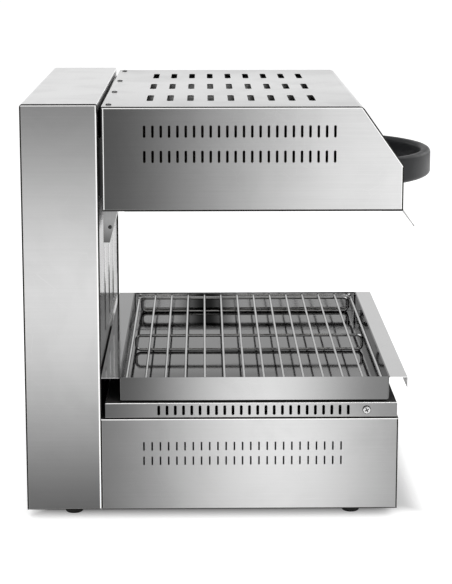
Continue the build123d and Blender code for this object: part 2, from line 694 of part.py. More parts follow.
def make_pulleys():
    """Two cable pulleys, their pins and the four ears that hold them."""
    centre = (y_at(PULLEY_REACH), z_at(PULLEY_HEIGHT))
    groove = PULLEY_PITCH_RADIUS - CABLE_DIAMETER / 2 - GROOVE_GAP
    half = PULLEY_WIDTH / 2
    for side, sign in SIDES.items():
        hub = Plane(origin=(sign * PULLEY_X, *centre), x_dir=(0, 1, 0), z_dir=(1, 0, 0))
        with BuildPart(hub) as pulley:
            with BuildSketch(Plane(origin=hub.origin, x_dir=(1, 0, 0), z_dir=(0, -1, 0))):
                with BuildLine():
                    Polyline(
                        (-half, PIN_DIAMETER / 2 + BUSH_GAP),
                        (-half, PULLEY_RIM_RADIUS),
                        (-half + 1, PULLEY_RIM_RADIUS),
                        (-CABLE_DIAMETER * 0.6, groove),
                        (CABLE_DIAMETER * 0.6, groove),
                        (half - 1, PULLEY_RIM_RADIUS),
                        (half, PULLEY_RIM_RADIUS),
                        (half, PIN_DIAMETER / 2 + BUSH_GAP),
                        close=True,
                    )
                make_face()
            revolve(axis=Axis(hub.origin, (1, 0, 0)))
            with BuildSketch(hub.offset(-half)):
                with PolarLocations((PIN_DIAMETER / 2 + groove) / 2, 3):
                    Circle(3)
            extrude(amount=PULLEY_WIDTH, mode=Mode.SUBTRACT)
        save(pulley, f"pulley_{side}")

    ear_x = half + PULLEY_SIDE_GAP
    ear_top = PULLEY_RISE + PIN_DIAMETER
    with BuildPart() as ears:
        for x in (-PULLEY_X, PULLEY_X):
            for hand in SIDES.values():
                face = x + hand * ear_x
                with BuildSketch(side_plane(min(face, face + hand * EAR_THICKNESS))):
                    with Locations((centre[0], z_at(BRACKET_HEIGHT + BRACKET_THICKNESS + ear_top / 2))):
                        Rectangle(EAR_WIDTH, ear_top)
                    with Locations(centre):
                        Circle(PIN_DIAMETER / 2, mode=Mode.SUBTRACT)
                extrude(amount=EAR_THICKNESS)
                with BuildSketch(level_plane(BRACKET_HEIGHT + BRACKET_THICKNESS)):
                    with Locations((face + hand * EAR_FOOT / 2, centre[0])):
                        Rectangle(EAR_FOOT, EAR_WIDTH)
                extrude(amount=EAR_THICKNESS)
    save(ears, "pulley_ears")

    with BuildPart() as pins:
        for x in (-PULLEY_X, PULLEY_X):
            start = x - ear_x - EAR_THICKNESS
            with BuildSketch(side_plane(start - PIN_HEAD[1])):
                with Locations(centre):
                    Circle(PIN_HEAD[0] / 2)
            extrude(amount=PIN_HEAD[1])
            with BuildSketch(side_plane(start)):
                with Locations(centre):
                    Circle(PIN_DIAMETER / 2)
            extrude(amount=2 * (ear_x + EAR_THICKNESS) + PIN_HEAD[1])
    save(pins, "pulley_pins")


def make_lift_cables():
    """Two steel cables from the carriage over the pulleys to the counterweight."""
    front = y_at(PULLEY_REACH + PULLEY_PITCH_RADIUS)
    back = y_at(CABLE_BACK_REACH)
    axle = z_at(PULLEY_HEIGHT)
    with BuildPart() as cables:
        for x in (-PULLEY_X, PULLEY_X):
            with BuildLine(side_plane(x)) as route:
                Line((front, z_at(CARRIAGE_TOP)), (front, axle))
                ThreePointArc((front, axle), (y_at(PULLEY_REACH), axle + PULLEY_PITCH_RADIUS), (back, axle))
                Line((back, axle), (back, z_at(WEIGHT_BOTTOM + WEIGHT_SIZE[2])))
            with BuildSketch(Plane(origin=(x, front, z_at(CARRIAGE_TOP)), z_dir=(0, 0, 1))):
                rod_section(CABLE_DIAMETER / 2)
            sweep(path=route.line)
    save(cables, "lift_cables")


def make_counterweight():
    """Cast iron block that balances the hood, and the two channels that guide it."""
    with BuildPart() as weight:
        with BuildSketch(level_plane(WEIGHT_BOTTOM)):
            with Locations((0, y_at(CABLE_BACK_REACH))):
                RectangleRounded(WEIGHT_SIZE[0], WEIGHT_SIZE[1], WEIGHT_EDGE)
        extrude(amount=WEIGHT_SIZE[2])
    save(weight, "counterweight")

    side = WEIGHT_SIZE[0] / 2 + GUIDE_GAP
    front = CABLE_BACK_REACH + WEIGHT_SIZE[1] / 2 + GUIDE_GAP
    with BuildPart() as guides:
        for sign in SIDES.values():
            with BuildSketch(level_plane(FLOOR_THICKNESS)):
                with BuildLine():
                    Polyline(
                        (sign * (side - GUIDE_GRIP), y_at(front)),
                        (sign * side, y_at(front)),
                        (sign * side, y_at(SHEET)),
                        (sign * (side + GUIDE_GRIP), y_at(SHEET)),
                        (sign * (side + GUIDE_GRIP), y_at(SHEET + GUIDE_SHEET)),
                        (sign * (side + GUIDE_SHEET), y_at(SHEET + GUIDE_SHEET)),
                        (sign * (side + GUIDE_SHEET), y_at(front + GUIDE_SHEET)),
                        (sign * (side - GUIDE_GRIP), y_at(front + GUIDE_SHEET)),
                        close=True,
                    )
                make_face()
            extrude(amount=WEIGHT_BOTTOM + WEIGHT_SIZE[2] + LIFT_TRAVEL)
    save(guides, "counterweight_guides")


# ---- Controls --------------------------------------------------------------------------------------------------

def make_controls():
    """Thermostat and timer behind the front panel, and the spindles and knobs that they carry."""
    inner_face = BASE_FRONT_REACH - SHEET
    with BuildPart() as thermostat:
        with BuildSketch(front_plane(inner_face)):
            with Locations((THERMOSTAT_X, z_at(CONTROL_HEIGHT))):
                RectangleRounded(THERMOSTAT_SIZE[0], THERMOSTAT_SIZE[2], 3)
                Circle(SPINDLE_DIAMETER / 2 + SPINDLE_GAP, mode=Mode.SUBTRACT)
        extrude(amount=-THERMOSTAT_SIZE[1])
    save(thermostat, "thermostat")
    with BuildPart() as timer:
        with BuildSketch(front_plane(inner_face)):
            with Locations((TIMER_X, z_at(CONTROL_HEIGHT))):
                Circle(TIMER_DIAMETER / 2)
                Circle(SPINDLE_DIAMETER / 2 + SPINDLE_GAP, mode=Mode.SUBTRACT)
        extrude(amount=-TIMER_DEPTH)
    save(timer, "timer")

    knob_back = BASE_FRONT_REACH + KNOB_GAP
    for name, x in (("thermostat", THERMOSTAT_X), ("timer", TIMER_X)):
        with BuildPart() as spindle:
            with BuildSketch(front_plane(inner_face - TIMER_DEPTH / 2)):
                with Locations((x, z_at(CONTROL_HEIGHT))):
                    Circle(SPINDLE_DIAMETER / 2)
            extrude(amount=TIMER_DEPTH / 2 + SHEET + SPINDLE_PROUD)
        save(spindle, f"{name}_spindle")
        with BuildPart() as knob:
            with BuildSketch(front_plane(knob_back)):
                with Locations((x, z_at(CONTROL_HEIGHT))):
                    Circle(KNOB_DIAMETER / 2)
            extrude(amount=KNOB_SKIRT)
            with BuildSketch(front_plane(knob_back + KNOB_SKIRT)):
                with Locations((x, z_at(CONTROL_HEIGHT))):
                    Circle(KNOB_DIAMETER / 2 - KNOB_TAPER)
            extrude(amount=KNOB_HEIGHT - KNOB_SKIRT, taper=KNOB_TAPER)
            with BuildSketch(front_plane(knob_back + KNOB_HEIGHT)):
                for sign in SIDES.values():
                    with Locations((x + sign * (KNOB_GRIP / 2 + KNOB_DIAMETER / 2), z_at(CONTROL_HEIGHT))):
                        Circle(KNOB_DIAMETER / 2)
            extrude(amount=KNOB_SKIRT - KNOB_HEIGHT, mode=Mode.SUBTRACT)
            with BuildSketch(front_plane(knob_back)):
                with Locations((x, z_at(CONTROL_HEIGHT))):
                    Circle(SPINDLE_DIAMETER / 2)
            extrude(amount=SPINDLE_PROUD - KNOB_GAP, mode=Mode.SUBTRACT)
            chamfer(knob.edges().group_by(Axis.Y)[0], 0.8)
        save(knob, f"{name}_knob")


def make_lamps():
    """Pilot lamps over the knobs: a bezel with its barrel, and a domed lens."""
    spots = [(x, z_at(LAMP_HEIGHT)) for x in (THERMOSTAT_X, TIMER_X)]
    with BuildPart() as bezels:
        with BuildSketch(front_plane(BASE_FRONT_REACH)):
            with Locations(*spots):
                Circle(LAMP_BEZEL[0] / 2)
        extrude(amount=LAMP_BEZEL[1], taper=25)
        with BuildSketch(front_plane(BASE_FRONT_REACH)):
            with Locations(*spots):
                Circle(LAMP_DIAMETER / 2)
        extrude(amount=-TIMER_DEPTH / 2)
        with BuildSketch(front_plane(BASE_FRONT_REACH + LAMP_BEZEL[1])):
            with Locations(*spots):
                Circle(LAMP_DIAMETER / 2 - 1)
        extrude(amount=-LAMP_BEZEL[1], mode=Mode.SUBTRACT)
    save(bezels, "lamp_bezels")
    for name, x in (("heat", THERMOSTAT_X), ("power", TIMER_X)):
        with BuildPart() as lens:
            with BuildSketch(front_plane(BASE_FRONT_REACH)):
                with Locations((x, z_at(LAMP_HEIGHT))):
                    Circle(LAMP_DIAMETER / 2 - 1)
            extrude(amount=LAMP_BEZEL[1] + 1.5)
            chamfer(lens.edges().group_by(Axis.Y)[0], 1.3)
        save(lens, f"{name}_lamp_lens")


def make_power_switch():
    """Rocker switch: the housing with its bezel, and the rocker resting on its off side."""
    bezel_x, bezel_z, bezel_proud = SWITCH_BEZEL
    mouth = (ROCKER_WIDTH + 2 * ROCKER_GAP, 2 * (ROCKER_HALF + 2 * ROCKER_GAP))
    with BuildPart() as housing:
        with BuildSketch(front_plane(BASE_FRONT_REACH)):
            with Locations((SWITCH_X, z_at(CONTROL_HEIGHT))):
                RectangleRounded(bezel_x, bezel_z, 2)
        extrude(amount=bezel_proud, taper=15)
        with BuildSketch(front_plane(BASE_FRONT_REACH)):
            with Locations((SWITCH_X, z_at(CONTROL_HEIGHT))):
                Rectangle(SWITCH_BODY[0], SWITCH_BODY[1])
        extrude(amount=-SWITCH_BODY[2])
        with BuildSketch(front_plane(BASE_FRONT_REACH + bezel_proud)):
            with Locations((SWITCH_X, z_at(CONTROL_HEIGHT))):
                Rectangle(*mouth)
        extrude(amount=-bezel_proud - SWITCH_BODY[2] / 2, mode=Mode.SUBTRACT)
    save(housing, "power_switch")

    pivot = (y_at(BASE_FRONT_REACH - ROCKER_PIVOT_DEPTH), z_at(CONTROL_HEIGHT))
    face = ROCKER_PIVOT_DEPTH + 1.5
    outline = [(4, -9), (4, 9), (-face, ROCKER_HALF), (-face + 1.6, 0), (-face, -ROCKER_HALF)]
    tilt = radians(ROCKER_TILT)
    turned = [
        (pivot[0] + y * cos(tilt) - z * sin(tilt), pivot[1] + y * sin(tilt) + z * cos(tilt)) for y, z in outline
    ]
    with BuildPart() as rocker:
        with BuildSketch(side_plane(SWITCH_X)):
            with BuildLine():
                Polyline(*turned, close=True)
            make_face()
        extrude(amount=ROCKER_WIDTH / 2, both=True)
    save(rocker, "rocker")


def make_supply_pieces():
    """Cable gland through the back of the column and the terminal block on the floor."""
    with BuildPart() as gland:
        with BuildSketch(front_plane(0)):
            with Locations((GLAND_X, z_at(GLAND_HEIGHT))):
                RegularPolygon(GLAND_HEX / 2, 6)
        extrude(amount=-GLAND_REACH * 0.35)
        with BuildSketch(front_plane(-GLAND_REACH * 0.35)):
            with Locations((GLAND_X, z_at(GLAND_HEIGHT))):
                Circle(GLAND_THREAD / 2 + 1.5)
        extrude(amount=-GLAND_REACH * 0.65)
        chamfer(gland.edges().group_by(Axis.Y)[-1], 2.5)
        with BuildSketch(front_plane(0)):
            with Locations((GLAND_X, z_at(GLAND_HEIGHT))):
                Circle(GLAND_THREAD / 2)
        extrude(amount=SHEET + GLAND_NUT + 3)
        with BuildSketch(front_plane(SHEET)):
            with Locations((GLAND_X, z_at(GLAND_HEIGHT))):
                RegularPolygon(GLAND_HEX / 2, 6)
        extrude(amount=GLAND_NUT)
        with BuildSketch(front_plane(-GLAND_REACH)):
            with Locations((GLAND_X, z_at(GLAND_HEIGHT))):
                Circle(GLAND_BORE / 2)
        extrude(amount=GLAND_REACH + SHEET + GLAND_NUT + 3, mode=Mode.SUBTRACT)
    save(gland, "cable_gland")

    with BuildPart() as block:
        with BuildSketch(level_plane(FLOOR_THICKNESS)):
            with Locations((GLAND_X - TERMINAL_SIZE[0] / 2, y_at(TERMINAL_REACH))):
                Rectangle(TERMINAL_SIZE[0], TERMINAL_SIZE[1])
        extrude(amount=TERMINAL_SIZE[2])
        with BuildSketch(level_plane(FLOOR_THICKNESS + TERMINAL_SIZE[2])):
            with Locations((GLAND_X - TERMINAL_SIZE[0] / 2, y_at(TERMINAL_REACH))):
                with GridLocations(TERMINAL_SIZE[0] / 3, TERMINAL_SIZE[1] / 2, 3, 2):
                    Rectangle(5, 5)
        extrude(amount=-6, mode=Mode.SUBTRACT)
    save(block, "terminal_block")


# ---- Hood -------------------------------------------------------------------------------------------------------

def hood_profile():
    """Corners of the hood's top, slope, front and bottom lip from the side, and their bend radii."""
    points = corners([
        (HOOD_BACK_REACH, HOOD_TOP),
        (HOOD_BACK_REACH + HOOD_TOP_DEPTH, HOOD_TOP),
        (HOOD_FRONT_REACH, HOOD_BOTTOM + HOOD_FRONT_HEIGHT),
        (HOOD_FRONT_REACH, HOOD_BOTTOM),
        (HOOD_FRONT_REACH - HOOD_BOTTOM_LIP, HOOD_BOTTOM),
    ])
    return points, [HOOD_TOP_BEND, HOOD_FRONT_BEND, EDGE_BEND]


def make_hood_wrap():
    """Top, slope and front of the hood in one sheet, with three rows of vents and a bottom lip."""
    points, bends = hood_profile()
    with BuildPart() as wrap:
        with BuildSketch(Plane.YZ):
            with BuildLine():
                FilletPolyline(*points, radius=bends)
                offset(amount=SHEET, side=Side.LEFT)
            make_face()
        extrude(amount=WIDTH / 2, both=True)
        with BuildSketch(level_plane(HOOD_TOP)) as vents:
            with Locations((0, y_at(VENT_REACH))):
                with GridLocations(VENT_PITCH_X, VENT_PITCH_Y, VENT_ROWS, VENTS_PER_ROW):
                    Rectangle(*VENT)
            chamfer(vents.vertices(), VENT[1] * SLOT_END)
            with Locations(*[(x, y_at(HOOD_SCREW_REACH)) for x in HOOD_SCREW_XS]):
                rod_section(SMALL_SHANK / 2)
        extrude(amount=-2 * SHEET, mode=Mode.SUBTRACT)
        with BuildSketch(front_plane(HOOD_FRONT_REACH)):
            with Locations(*[(s * HANDLE_SCREW_X, z_at(HANDLE_HEIGHT_MID)) for s in SIDES.values()]):
                rod_section(SCREW_SHANK / 2)
        extrude(amount=-2 * SHEET, mode=Mode.SUBTRACT)
    save(wrap, "hood_wrap")


def make_hood_sides():
    """Side panels of the hood, set in from the wrap's edge, with two rows of slots each."""
    points, bends = hood_profile()
    flange_length = HOOD_DEPTH - 2 * HOOD_BOTTOM_LIP - 2 * PANEL_GAP
    for side, sign in SIDES.items():
        inner = sign * SIDE_INNER_X
        outer = inner + sign * SHEET
        with BuildPart() as panel:
            with BuildSketch(side_plane(min(inner, outer))):
                with BuildLine():
                    FilletPolyline(*points, radius=bends)
                    Polyline(points[-1], *corners([(HOOD_BACK_REACH, HOOD_BOTTOM)]), points[0])
                make_face()
                offset(amount=-SHEET, mode=Mode.REPLACE)
            extrude(amount=SHEET)
            with BuildSketch(level_plane(HOOD_BOTTOM)):
                with Locations((outer - sign * HOOD_SIDE_FLANGE / 2, y_at(HOOD_BACK_REACH + HOOD_DEPTH / 2))):
                    Rectangle(HOOD_SIDE_FLANGE, flange_length)
            extrude(amount=SHEET)
            with BuildSketch(side_plane(inner)) as slots:
                for height in HOOD_SLOT_HEIGHTS:
                    with Locations((y_at(HOOD_SLOT_REACH), z_at(height))):
                        with GridLocations(HOOD_SLOT_PITCH, 0, HOOD_SLOT_COUNT, 1):
                            Rectangle(HOOD_SLOT[1], HOOD_SLOT[0])
                chamfer(slots.vertices(), HOOD_SLOT[1] * SLOT_END)
            extrude(amount=2 * SHEET, both=True, mode=Mode.SUBTRACT)
        save(panel, f"hood_side_{side}")


def make_hood_rear_panel():
    """Back of the hood, with a flange under the top sheet for its screws."""
    width = 2 * SIDE_INNER_X - 2 * PANEL_GAP
    with BuildPart() as panel:
        with BuildSketch(front_plane(HOOD_BACK_REACH)):
            with Locations((0, z_at((HOOD_BOTTOM + HOOD_TOP - SHEET) / 2))):
                Rectangle(width, HOOD_HEIGHT - SHEET)
        extrude(amount=SHEET)
        with BuildSketch(level_plane(HOOD_TOP - SHEET)):
            with Locations((0, y_at(HOOD_BACK_REACH + HOOD_BOTTOM_LIP / 3))):
                Rectangle(width, HOOD_BOTTOM_LIP * 2 / 3)
            with Locations(*[(x, y_at(HOOD_SCREW_REACH)) for x in HOOD_SCREW_XS]):
                screw_hole(SMALL_SHANK)
        extrude(amount=-SHEET)
        with BuildSketch(level_plane(HOOD_BOTTOM)):
            with Locations((0, y_at(HOOD_BACK_REACH + HOOD_BOTTOM_LIP / 2))):
                Rectangle(width, HOOD_BOTTOM_LIP)
        extrude(amount=SHEET)
    save(panel, "hood_rear_panel")


def make_hood_screws():
    """Small pan head screws along the back edge of the hood's top."""
    with BuildPart() as screws:
        for x in HOOD_SCREW_XS:
            place = Plane(origin=(x, y_at(HOOD_SCREW_REACH), z_at(HOOD_TOP)), z_dir=(0, 0, 1))
            add(pan_head(place, SMALL_HEAD, SMALL_SHANK, SCREW_LENGTH))
    save(screws, "hood_screws")


def make_hood_inner():
    """Heat shield under the vents, insulation slab and the reflector over the elements."""
    back = HOOD_BACK_REACH + REFLECTOR_INSET
    front = HOOD_FRONT_REACH - REFLECTOR_INSET
    half_width = SIDE_INNER_X - REFLECTOR_INSET
    with BuildPart() as reflector:
        with BuildSketch(level_plane(REFLECTOR_BOTTOM)):
            with Locations((0, y_at((back + front) / 2))):
                Rectangle(2 * half_width, front - back)
        with BuildSketch(level_plane(REFLECTOR_TOP)):
            with Locations((0, y_at((back + front) / 2))):
                Rectangle(2 * (half_width - REFLECTOR_SLOPE), front - back - 2 * REFLECTOR_SLOPE)
        loft()
        offset(amount=-REFLECTOR_SHEET, openings=reflector.faces().sort_by(Axis.Z)[0])
        with BuildSketch(level_plane(REFLECTOR_TOP)):
            with Locations(*element_tails()):
                rod_section(ELEMENT_TUBE / 2 + ELEMENT_HOLE_GAP)
        extrude(amount=-2 * REFLECTOR_SHEET, mode=Mode.SUBTRACT)
    save(reflector, "reflector")

    clear_x = -ELEMENT_LENGTH / 2 + ELEMENT_TUBE + ELEMENT_BEND
    far_x = half_width - REFLECTOR_SLOPE
    with BuildPart() as insulation:
        with BuildSketch(level_plane(REFLECTOR_TOP)):
            with Locations(((clear_x + far_x) / 2, y_at((back + front) / 2))):
                Rectangle(far_x - clear_x, front - back - 2 * REFLECTOR_SLOPE)
        extrude(amount=INSULATION_HEIGHT)
    save(insulation, "insulation")

    shield_front = HOOD_BACK_REACH + HOOD_TOP_DEPTH - SHIELD_DROP
    shield_back = HOOD_BACK_REACH + SHEET + PANEL_GAP
    with BuildPart() as shield:
        with BuildSketch(level_plane(HOOD_TOP - SHEET - SHIELD_DROP)):
            with Locations((0, y_at((shield_back + shield_front) / 2))):
                Rectangle(2 * (SIDE_INNER_X - SHIELD_INSET), shield_front - shield_back)
        extrude(amount=-REFLECTOR_SHEET)
        with BuildSketch(level_plane(HOOD_TOP - SHEET)):
            for sign in SIDES.values():
                with Locations(
                    (sign * (SIDE_INNER_X - SHIELD_INSET - SHEET / 2), y_at((shield_back + shield_front) / 2))
                ):
                    Rectangle(SHEET, (shield_front - shield_back) * 0.8)
        extrude(amount=-SHIELD_DROP)
    save(shield, "heat_shield")


def element_tails():
    """Plan points where the four ends of the heating elements rise through the reflector."""
    x = -ELEMENT_LENGTH / 2
    reaches = []
    for sign in SIDES.values():
        centre = ELEMENT_MID_REACH + sign * ELEMENT_SPREAD / 2
        reaches += [centre - ELEMENT_PITCH / 2, centre + ELEMENT_PITCH / 2]
    return [(x, y_at(reach)) for reach in reaches]


def make_heating_elements():
    """Two hairpin tube elements under the reflector and the clips that hang them."""
    half = ELEMENT_LENGTH / 2
    low = z_at(ELEMENT_HEIGHT)
    high = z_at(REFLECTOR_TOP + ELEMENT_TAIL)
    turn = ELEMENT_PITCH / 2 * 0.99
    for name, sign in (("rear", -1), ("front", 1)):
        centre = ELEMENT_MID_REACH + sign * ELEMENT_SPREAD / 2
        near = y_at(centre - ELEMENT_PITCH / 2)
        far = y_at(centre + ELEMENT_PITCH / 2)
        with BuildPart() as element:
            with BuildLine() as route:
                FilletPolyline(
                    (-half, near, high),
                    (-half, near, low),
                    (half, near, low),
                    (half, far, low),
                    (-half, far, low),
                    (-half, far, high),
                    radius=[ELEMENT_BEND, turn, turn, ELEMENT_BEND],
                )
            with BuildSketch(Plane(origin=(-half, near, high), z_dir=(0, 0, -1))):
                rod_section(ELEMENT_TUBE / 2)
            sweep(path=route.line)
        save(element, f"heating_element_{name}")

    runs = sorted({y for _, y in element_tails()})
    with BuildPart() as clips:
        for x in CLIP_X:
            for y in runs:
                with BuildSketch(side_plane(x)):
                    with Locations((y, low)):
                        Rectangle(ELEMENT_TUBE + 2 * CLIP_WALL, ELEMENT_TUBE + 2 * CLIP_WALL)
                    stem = REFLECTOR_TOP - REFLECTOR_SHEET - ELEMENT_HEIGHT
                    with Locations((y, low + stem / 2)):
                        Rectangle(CLIP_WALL * 2, stem)
                    with Locations((y, low)):
                        RegularPolygon(
                            ELEMENT_TUBE / 2 + CLIP_GAP, ROD_FACES, major_radius=False, rotation=180 / ROD_FACES,
                            mode=Mode.SUBTRACT,
                        )
                extrude(amount=CLIP_WIDTH / 2, both=True)
    save(clips, "element_clips")


def make_handle():
    """Black bow handle on the hood's front and the screws that hold it from inside."""
    centre = (0, y_at(HANDLE_CENTRE_REACH))
    front_y = y_at(HOOD_FRONT_REACH)
    with BuildPart() as handle:
        with BuildSketch(level_plane(HANDLE_HEIGHT_MID)):
            with Locations(centre):
                Circle(HANDLE_RADIUS)
                Circle(HANDLE_RADIUS - HANDLE_THICKNESS, mode=Mode.SUBTRACT)
            with Locations((0, front_y)):
                Rectangle(3 * HANDLE_RADIUS, 3 * HANDLE_RADIUS, align=(Align.CENTER, Align.MIN), mode=Mode.SUBTRACT)
        extrude(amount=HANDLE_HEIGHT / 2, both=True)
        long_edges = handle.edges().filter_by(GeomType.CIRCLE)
        fillet(long_edges, HANDLE_EDGE)
        with BuildSketch(front_plane(HOOD_FRONT_REACH)):
            with Locations(*[(s * HANDLE_SCREW_X, z_at(HANDLE_HEIGHT_MID)) for s in SIDES.values()]):
                rod_section(SCREW_SHANK / 2)
        extrude(amount=HANDLE_SCREW_DEPTH, mode=Mode.SUBTRACT)
    save(handle, "hood_handle")

    with BuildPart() as screws:
        for sign in SIDES.values():
            place = Plane(
                origin=(sign * HANDLE_SCREW_X, y_at(HOOD_FRONT_REACH - SHEET), z_at(HANDLE_HEIGHT_MID)),
                x_dir=(1, 0, 0),
                z_dir=(0, 1, 0),
            )
            add(pan_head(place, SCREW_HEAD, SCREW_SHANK, HANDLE_SCREW_DEPTH + SHEET))
    save(screws, "handle_screws")


def make_heat_flap():
    """Thin deflector under the hood's front edge, turned down and forward."""
    with BuildPart() as flap:
        with BuildSketch(Plane.YZ):
            with BuildLine():
                FilletPolyline(
                    *corners([
                        (HOOD_FRONT_REACH - FLAP_SEAT, HOOD_BOTTOM),
                        (HOOD_FRONT_REACH, HOOD_BOTTOM),
                        (HOOD_FRONT_REACH + FLAP_REACH, HOOD_BOTTOM - FLAP_DROP),
                    ]),
                    radius=HOOD_FRONT_BEND,
                )
                offset(amount=SHEET, side=Side.LEFT)
            make_face()
        extrude(amount=WIDTH / 2 - FLAP_END_INSET, both=True)
    save(flap, "heat_flap")


def make_rear_skirt():
    """Tapered channel with closed ends that hangs from the back of the hood in front of the column."""
    with BuildPart() as skirt:
        with BuildSketch(Plane.YZ):
            with BuildLine():
                Polyline(
                    *corners([
                        (HOOD_BACK_REACH, HOOD_BOTTOM),
                        (HOOD_BACK_REACH, HOOD_BOTTOM - SKIRT_DROP),
                        (HOOD_BACK_REACH + SKIRT_LIP, HOOD_BOTTOM - SKIRT_DROP),
                        (HOOD_BACK_REACH + SKIRT_TOP, HOOD_BOTTOM),
                    ]),
                    close=True,
                )
            make_face()
        extrude(amount=WIDTH / 2 - SKIRT_END_INSET, both=True)
        offset(amount=-SHEET, openings=skirt.faces().sort_by(Axis.Z)[-1])
    save(skirt, "rear_skirt")


def make_carriage():
    """Carriage inside the column: cross plate, sliding shoes on the rods and the arms to the hood."""
    front_face = CARRIAGE_REACH + CARRIAGE_THICKNESS
    with BuildPart() as plate:
        with BuildSketch(front_plane(CARRIAGE_REACH)):
            with Locations((0, z_at(CARRIAGE_BOTTOM + CARRIAGE_HEIGHT / 2))):
                Rectangle(CARRIAGE_LENGTH, CARRIAGE_HEIGHT)
                with GridLocations(CARRIAGE_LENGTH / 6, 0, 3, 1):
                    Rectangle(CARRIAGE_LENGTH / 9, CARRIAGE_HEIGHT / 2, mode=Mode.SUBTRACT)
        extrude(amount=CARRIAGE_THICKNESS)
    save(plate, "carriage_plate")

    with BuildPart() as shoes:
        with BuildSketch(level_plane(CARRIAGE_BOTTOM + (CARRIAGE_HEIGHT - SHOE_SIZE[2]) / 2)):
            with Locations((-ROD_X, y_at(ROD_REACH)), (ROD_X, y_at(ROD_REACH))):
                Rectangle(SHOE_SIZE[0], SHOE_SIZE[1])
                Circle(ROD_DIAMETER / 2 + BUSH_GAP, mode=Mode.SUBTRACT)
        extrude(amount=SHOE_SIZE[2])
    save(shoes, "carriage_shoes")

    for side, sign in SIDES.items():
        with BuildPart() as arm:
            with BuildSketch(level_plane(CARRIAGE_BOTTOM)):
                with Locations((sign * ARM_X, y_at((front_face + HOOD_BACK_REACH) / 2))):
                    Rectangle(ARM_THICKNESS, HOOD_BACK_REACH - front_face)
                with Locations((sign * ARM_X, y_at(HOOD_BACK_REACH - ARM_FLANGE[1] / 2))):
                    Rectangle(*ARM_FLANGE)
            extrude(amount=CARRIAGE_HEIGHT)
        save(arm, f"lift_arm_{side}")


# ---- Tray and rack -----------------------------------------------------------------------------------------------

def make_drip_tray():
    """Drip tray: folded pan with a flat flange at the back and a turned-down flange at the front."""
    with BuildPart() as tray:
        with BuildSketch(level_plane(TRAY_BOTTOM)):
            with Locations((0, y_at(RACK_MID_REACH))):
                Rectangle(TRAY_LENGTH, TRAY_DEPTH)
        extrude(amount=TRAY_HEIGHT)
        fillet(tray.edges().filter_by(Axis.Z), TRAY_CORNER)
        fillet(tray.edges().group_by(Axis.Z)[0], TRAY_SHEET * 1.5)
        offset(amount=-TRAY_SHEET, openings=tray.faces().sort_by(Axis.Z)[-1])
        with BuildSketch(Plane.YZ):
            with BuildLine():
                FilletPolyline(
                    *corners([
                        (TRAY_FRONT_REACH - TRAY_SHEET, TRAY_TOP),
                        (TRAY_FRONT_REACH + TRAY_FRONT_FLANGE, TRAY_TOP),
                        (TRAY_FRONT_REACH + TRAY_FRONT_FLANGE, TRAY_TOP - TRAY_LIP),
                    ]),
                    radius=EDGE_BEND,
                )
                offset(amount=TRAY_SHEET, side=Side.LEFT)
            make_face()
        extrude(amount=TRAY_LENGTH / 2, both=True)
        with BuildSketch(level_plane(TRAY_TOP)):
            with Locations((0, y_at(TRAY_BACK_REACH + TRAY_SHEET))):
                Rectangle(TRAY_LENGTH, TRAY_BACK_FLANGE + TRAY_SHEET, align=(Align.CENTER, Align.MIN))
        extrude(amount=-TRAY_SHEET)
    save(tray, "drip_tray")


def make_rack():
    """Wire rack: a rounded ring, three upright loops that stand in the tray, and thin cross wires."""
    rod = RACK_ROD / 2
    mid_y = y_at(RACK_MID_REACH)
    half_depth = RACK_DEPTH / 2
    high = z_at(RACK_HIGH_HEIGHT)
    low = z_at(RACK_LOW_HEIGHT)
    with BuildPart() as ring:
        with BuildLine() as route:
            FilletPolyline(
                (-RACK_HALF_LENGTH, mid_y - half_depth, high),
                (RACK_HALF_LENGTH, mid_y - half_depth, high),
                (RACK_HALF_LENGTH, mid_y + half_depth, high),
                (-RACK_HALF_LENGTH, mid_y + half_depth, high),
                radius=RACK_CORNER,
                close=True,
            )
        path = route.wire()
        with BuildSketch(Plane(origin=path @ 0, z_dir=path % 0)):
            rod_section(rod)
        sweep(path=path)
    save(ring, "rack_ring")

    loop_x = RACK_HALF_LENGTH - RACK_ROD
    loop_half = half_depth - RACK_ROD
    with BuildPart() as loops:
        for x in (-loop_x, 0, loop_x):
            with BuildLine() as route:
                FilletPolyline(
                    (x, mid_y - loop_half, low),
                    (x, mid_y - loop_half, high),
                    (x, mid_y + loop_half, high),
                    (x, mid_y + loop_half, low),
                    radius=LOOP_CORNER,
                    close=True,
                )
            path = route.wire()
            with BuildSketch(Plane(origin=path @ 0, z_dir=path % 0)):
                rod_section(rod)
            sweep(path=path)
    save(loops, "rack_loops")

    with BuildPart() as wires:
        with BuildSketch(side_plane(0)):
            with Locations((mid_y, high + rod + RACK_WIRE / 2)):
                with GridLocations(RACK_WIRE_PITCH, 0, RACK_WIRE_COUNT, 1):
                    rod_section(RACK_WIRE / 2)
        extrude(amount=TRAY_LENGTH / 2 - WIRE_END_GAP, both=True)
    save(wires, "rack_wires")


os.makedirs("parts", exist_ok=True)
make_base_floor()
make_base_sides()
make_base_front_panel()
make_deck_seal()
make_base_deck()
make_deck_screws()
make_tray_runners()
make_feet()
make_column_wrap()
make_column_sides()
make_column_front_panel()
make_guide_rods()
make_top_bracket()
make_pulleys()
make_lift_cables()
make_counterweight()
make_controls()
make_lamps()
make_power_switch()
make_supply_pieces()
make_hood_wrap()
make_hood_sides()
make_hood_rear_panel()
make_hood_screws()
make_hood_inner()
make_heating_elements()
make_handle()
make_heat_flap()
make_rear_skirt()
make_carriage()
make_drip_tray()
make_rack()
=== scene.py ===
"""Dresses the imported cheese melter: finishes for its folded steel and detailed pieces for its fittings.

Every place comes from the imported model's own nodes, in metres, with +Z up and the front towards -Y.
Small sizes are written in millimetres and turned into metres by MM.
"""

import functools
import logging
import math
from dataclasses import dataclass
from enum import Enum
from typing import Callable, Sequence

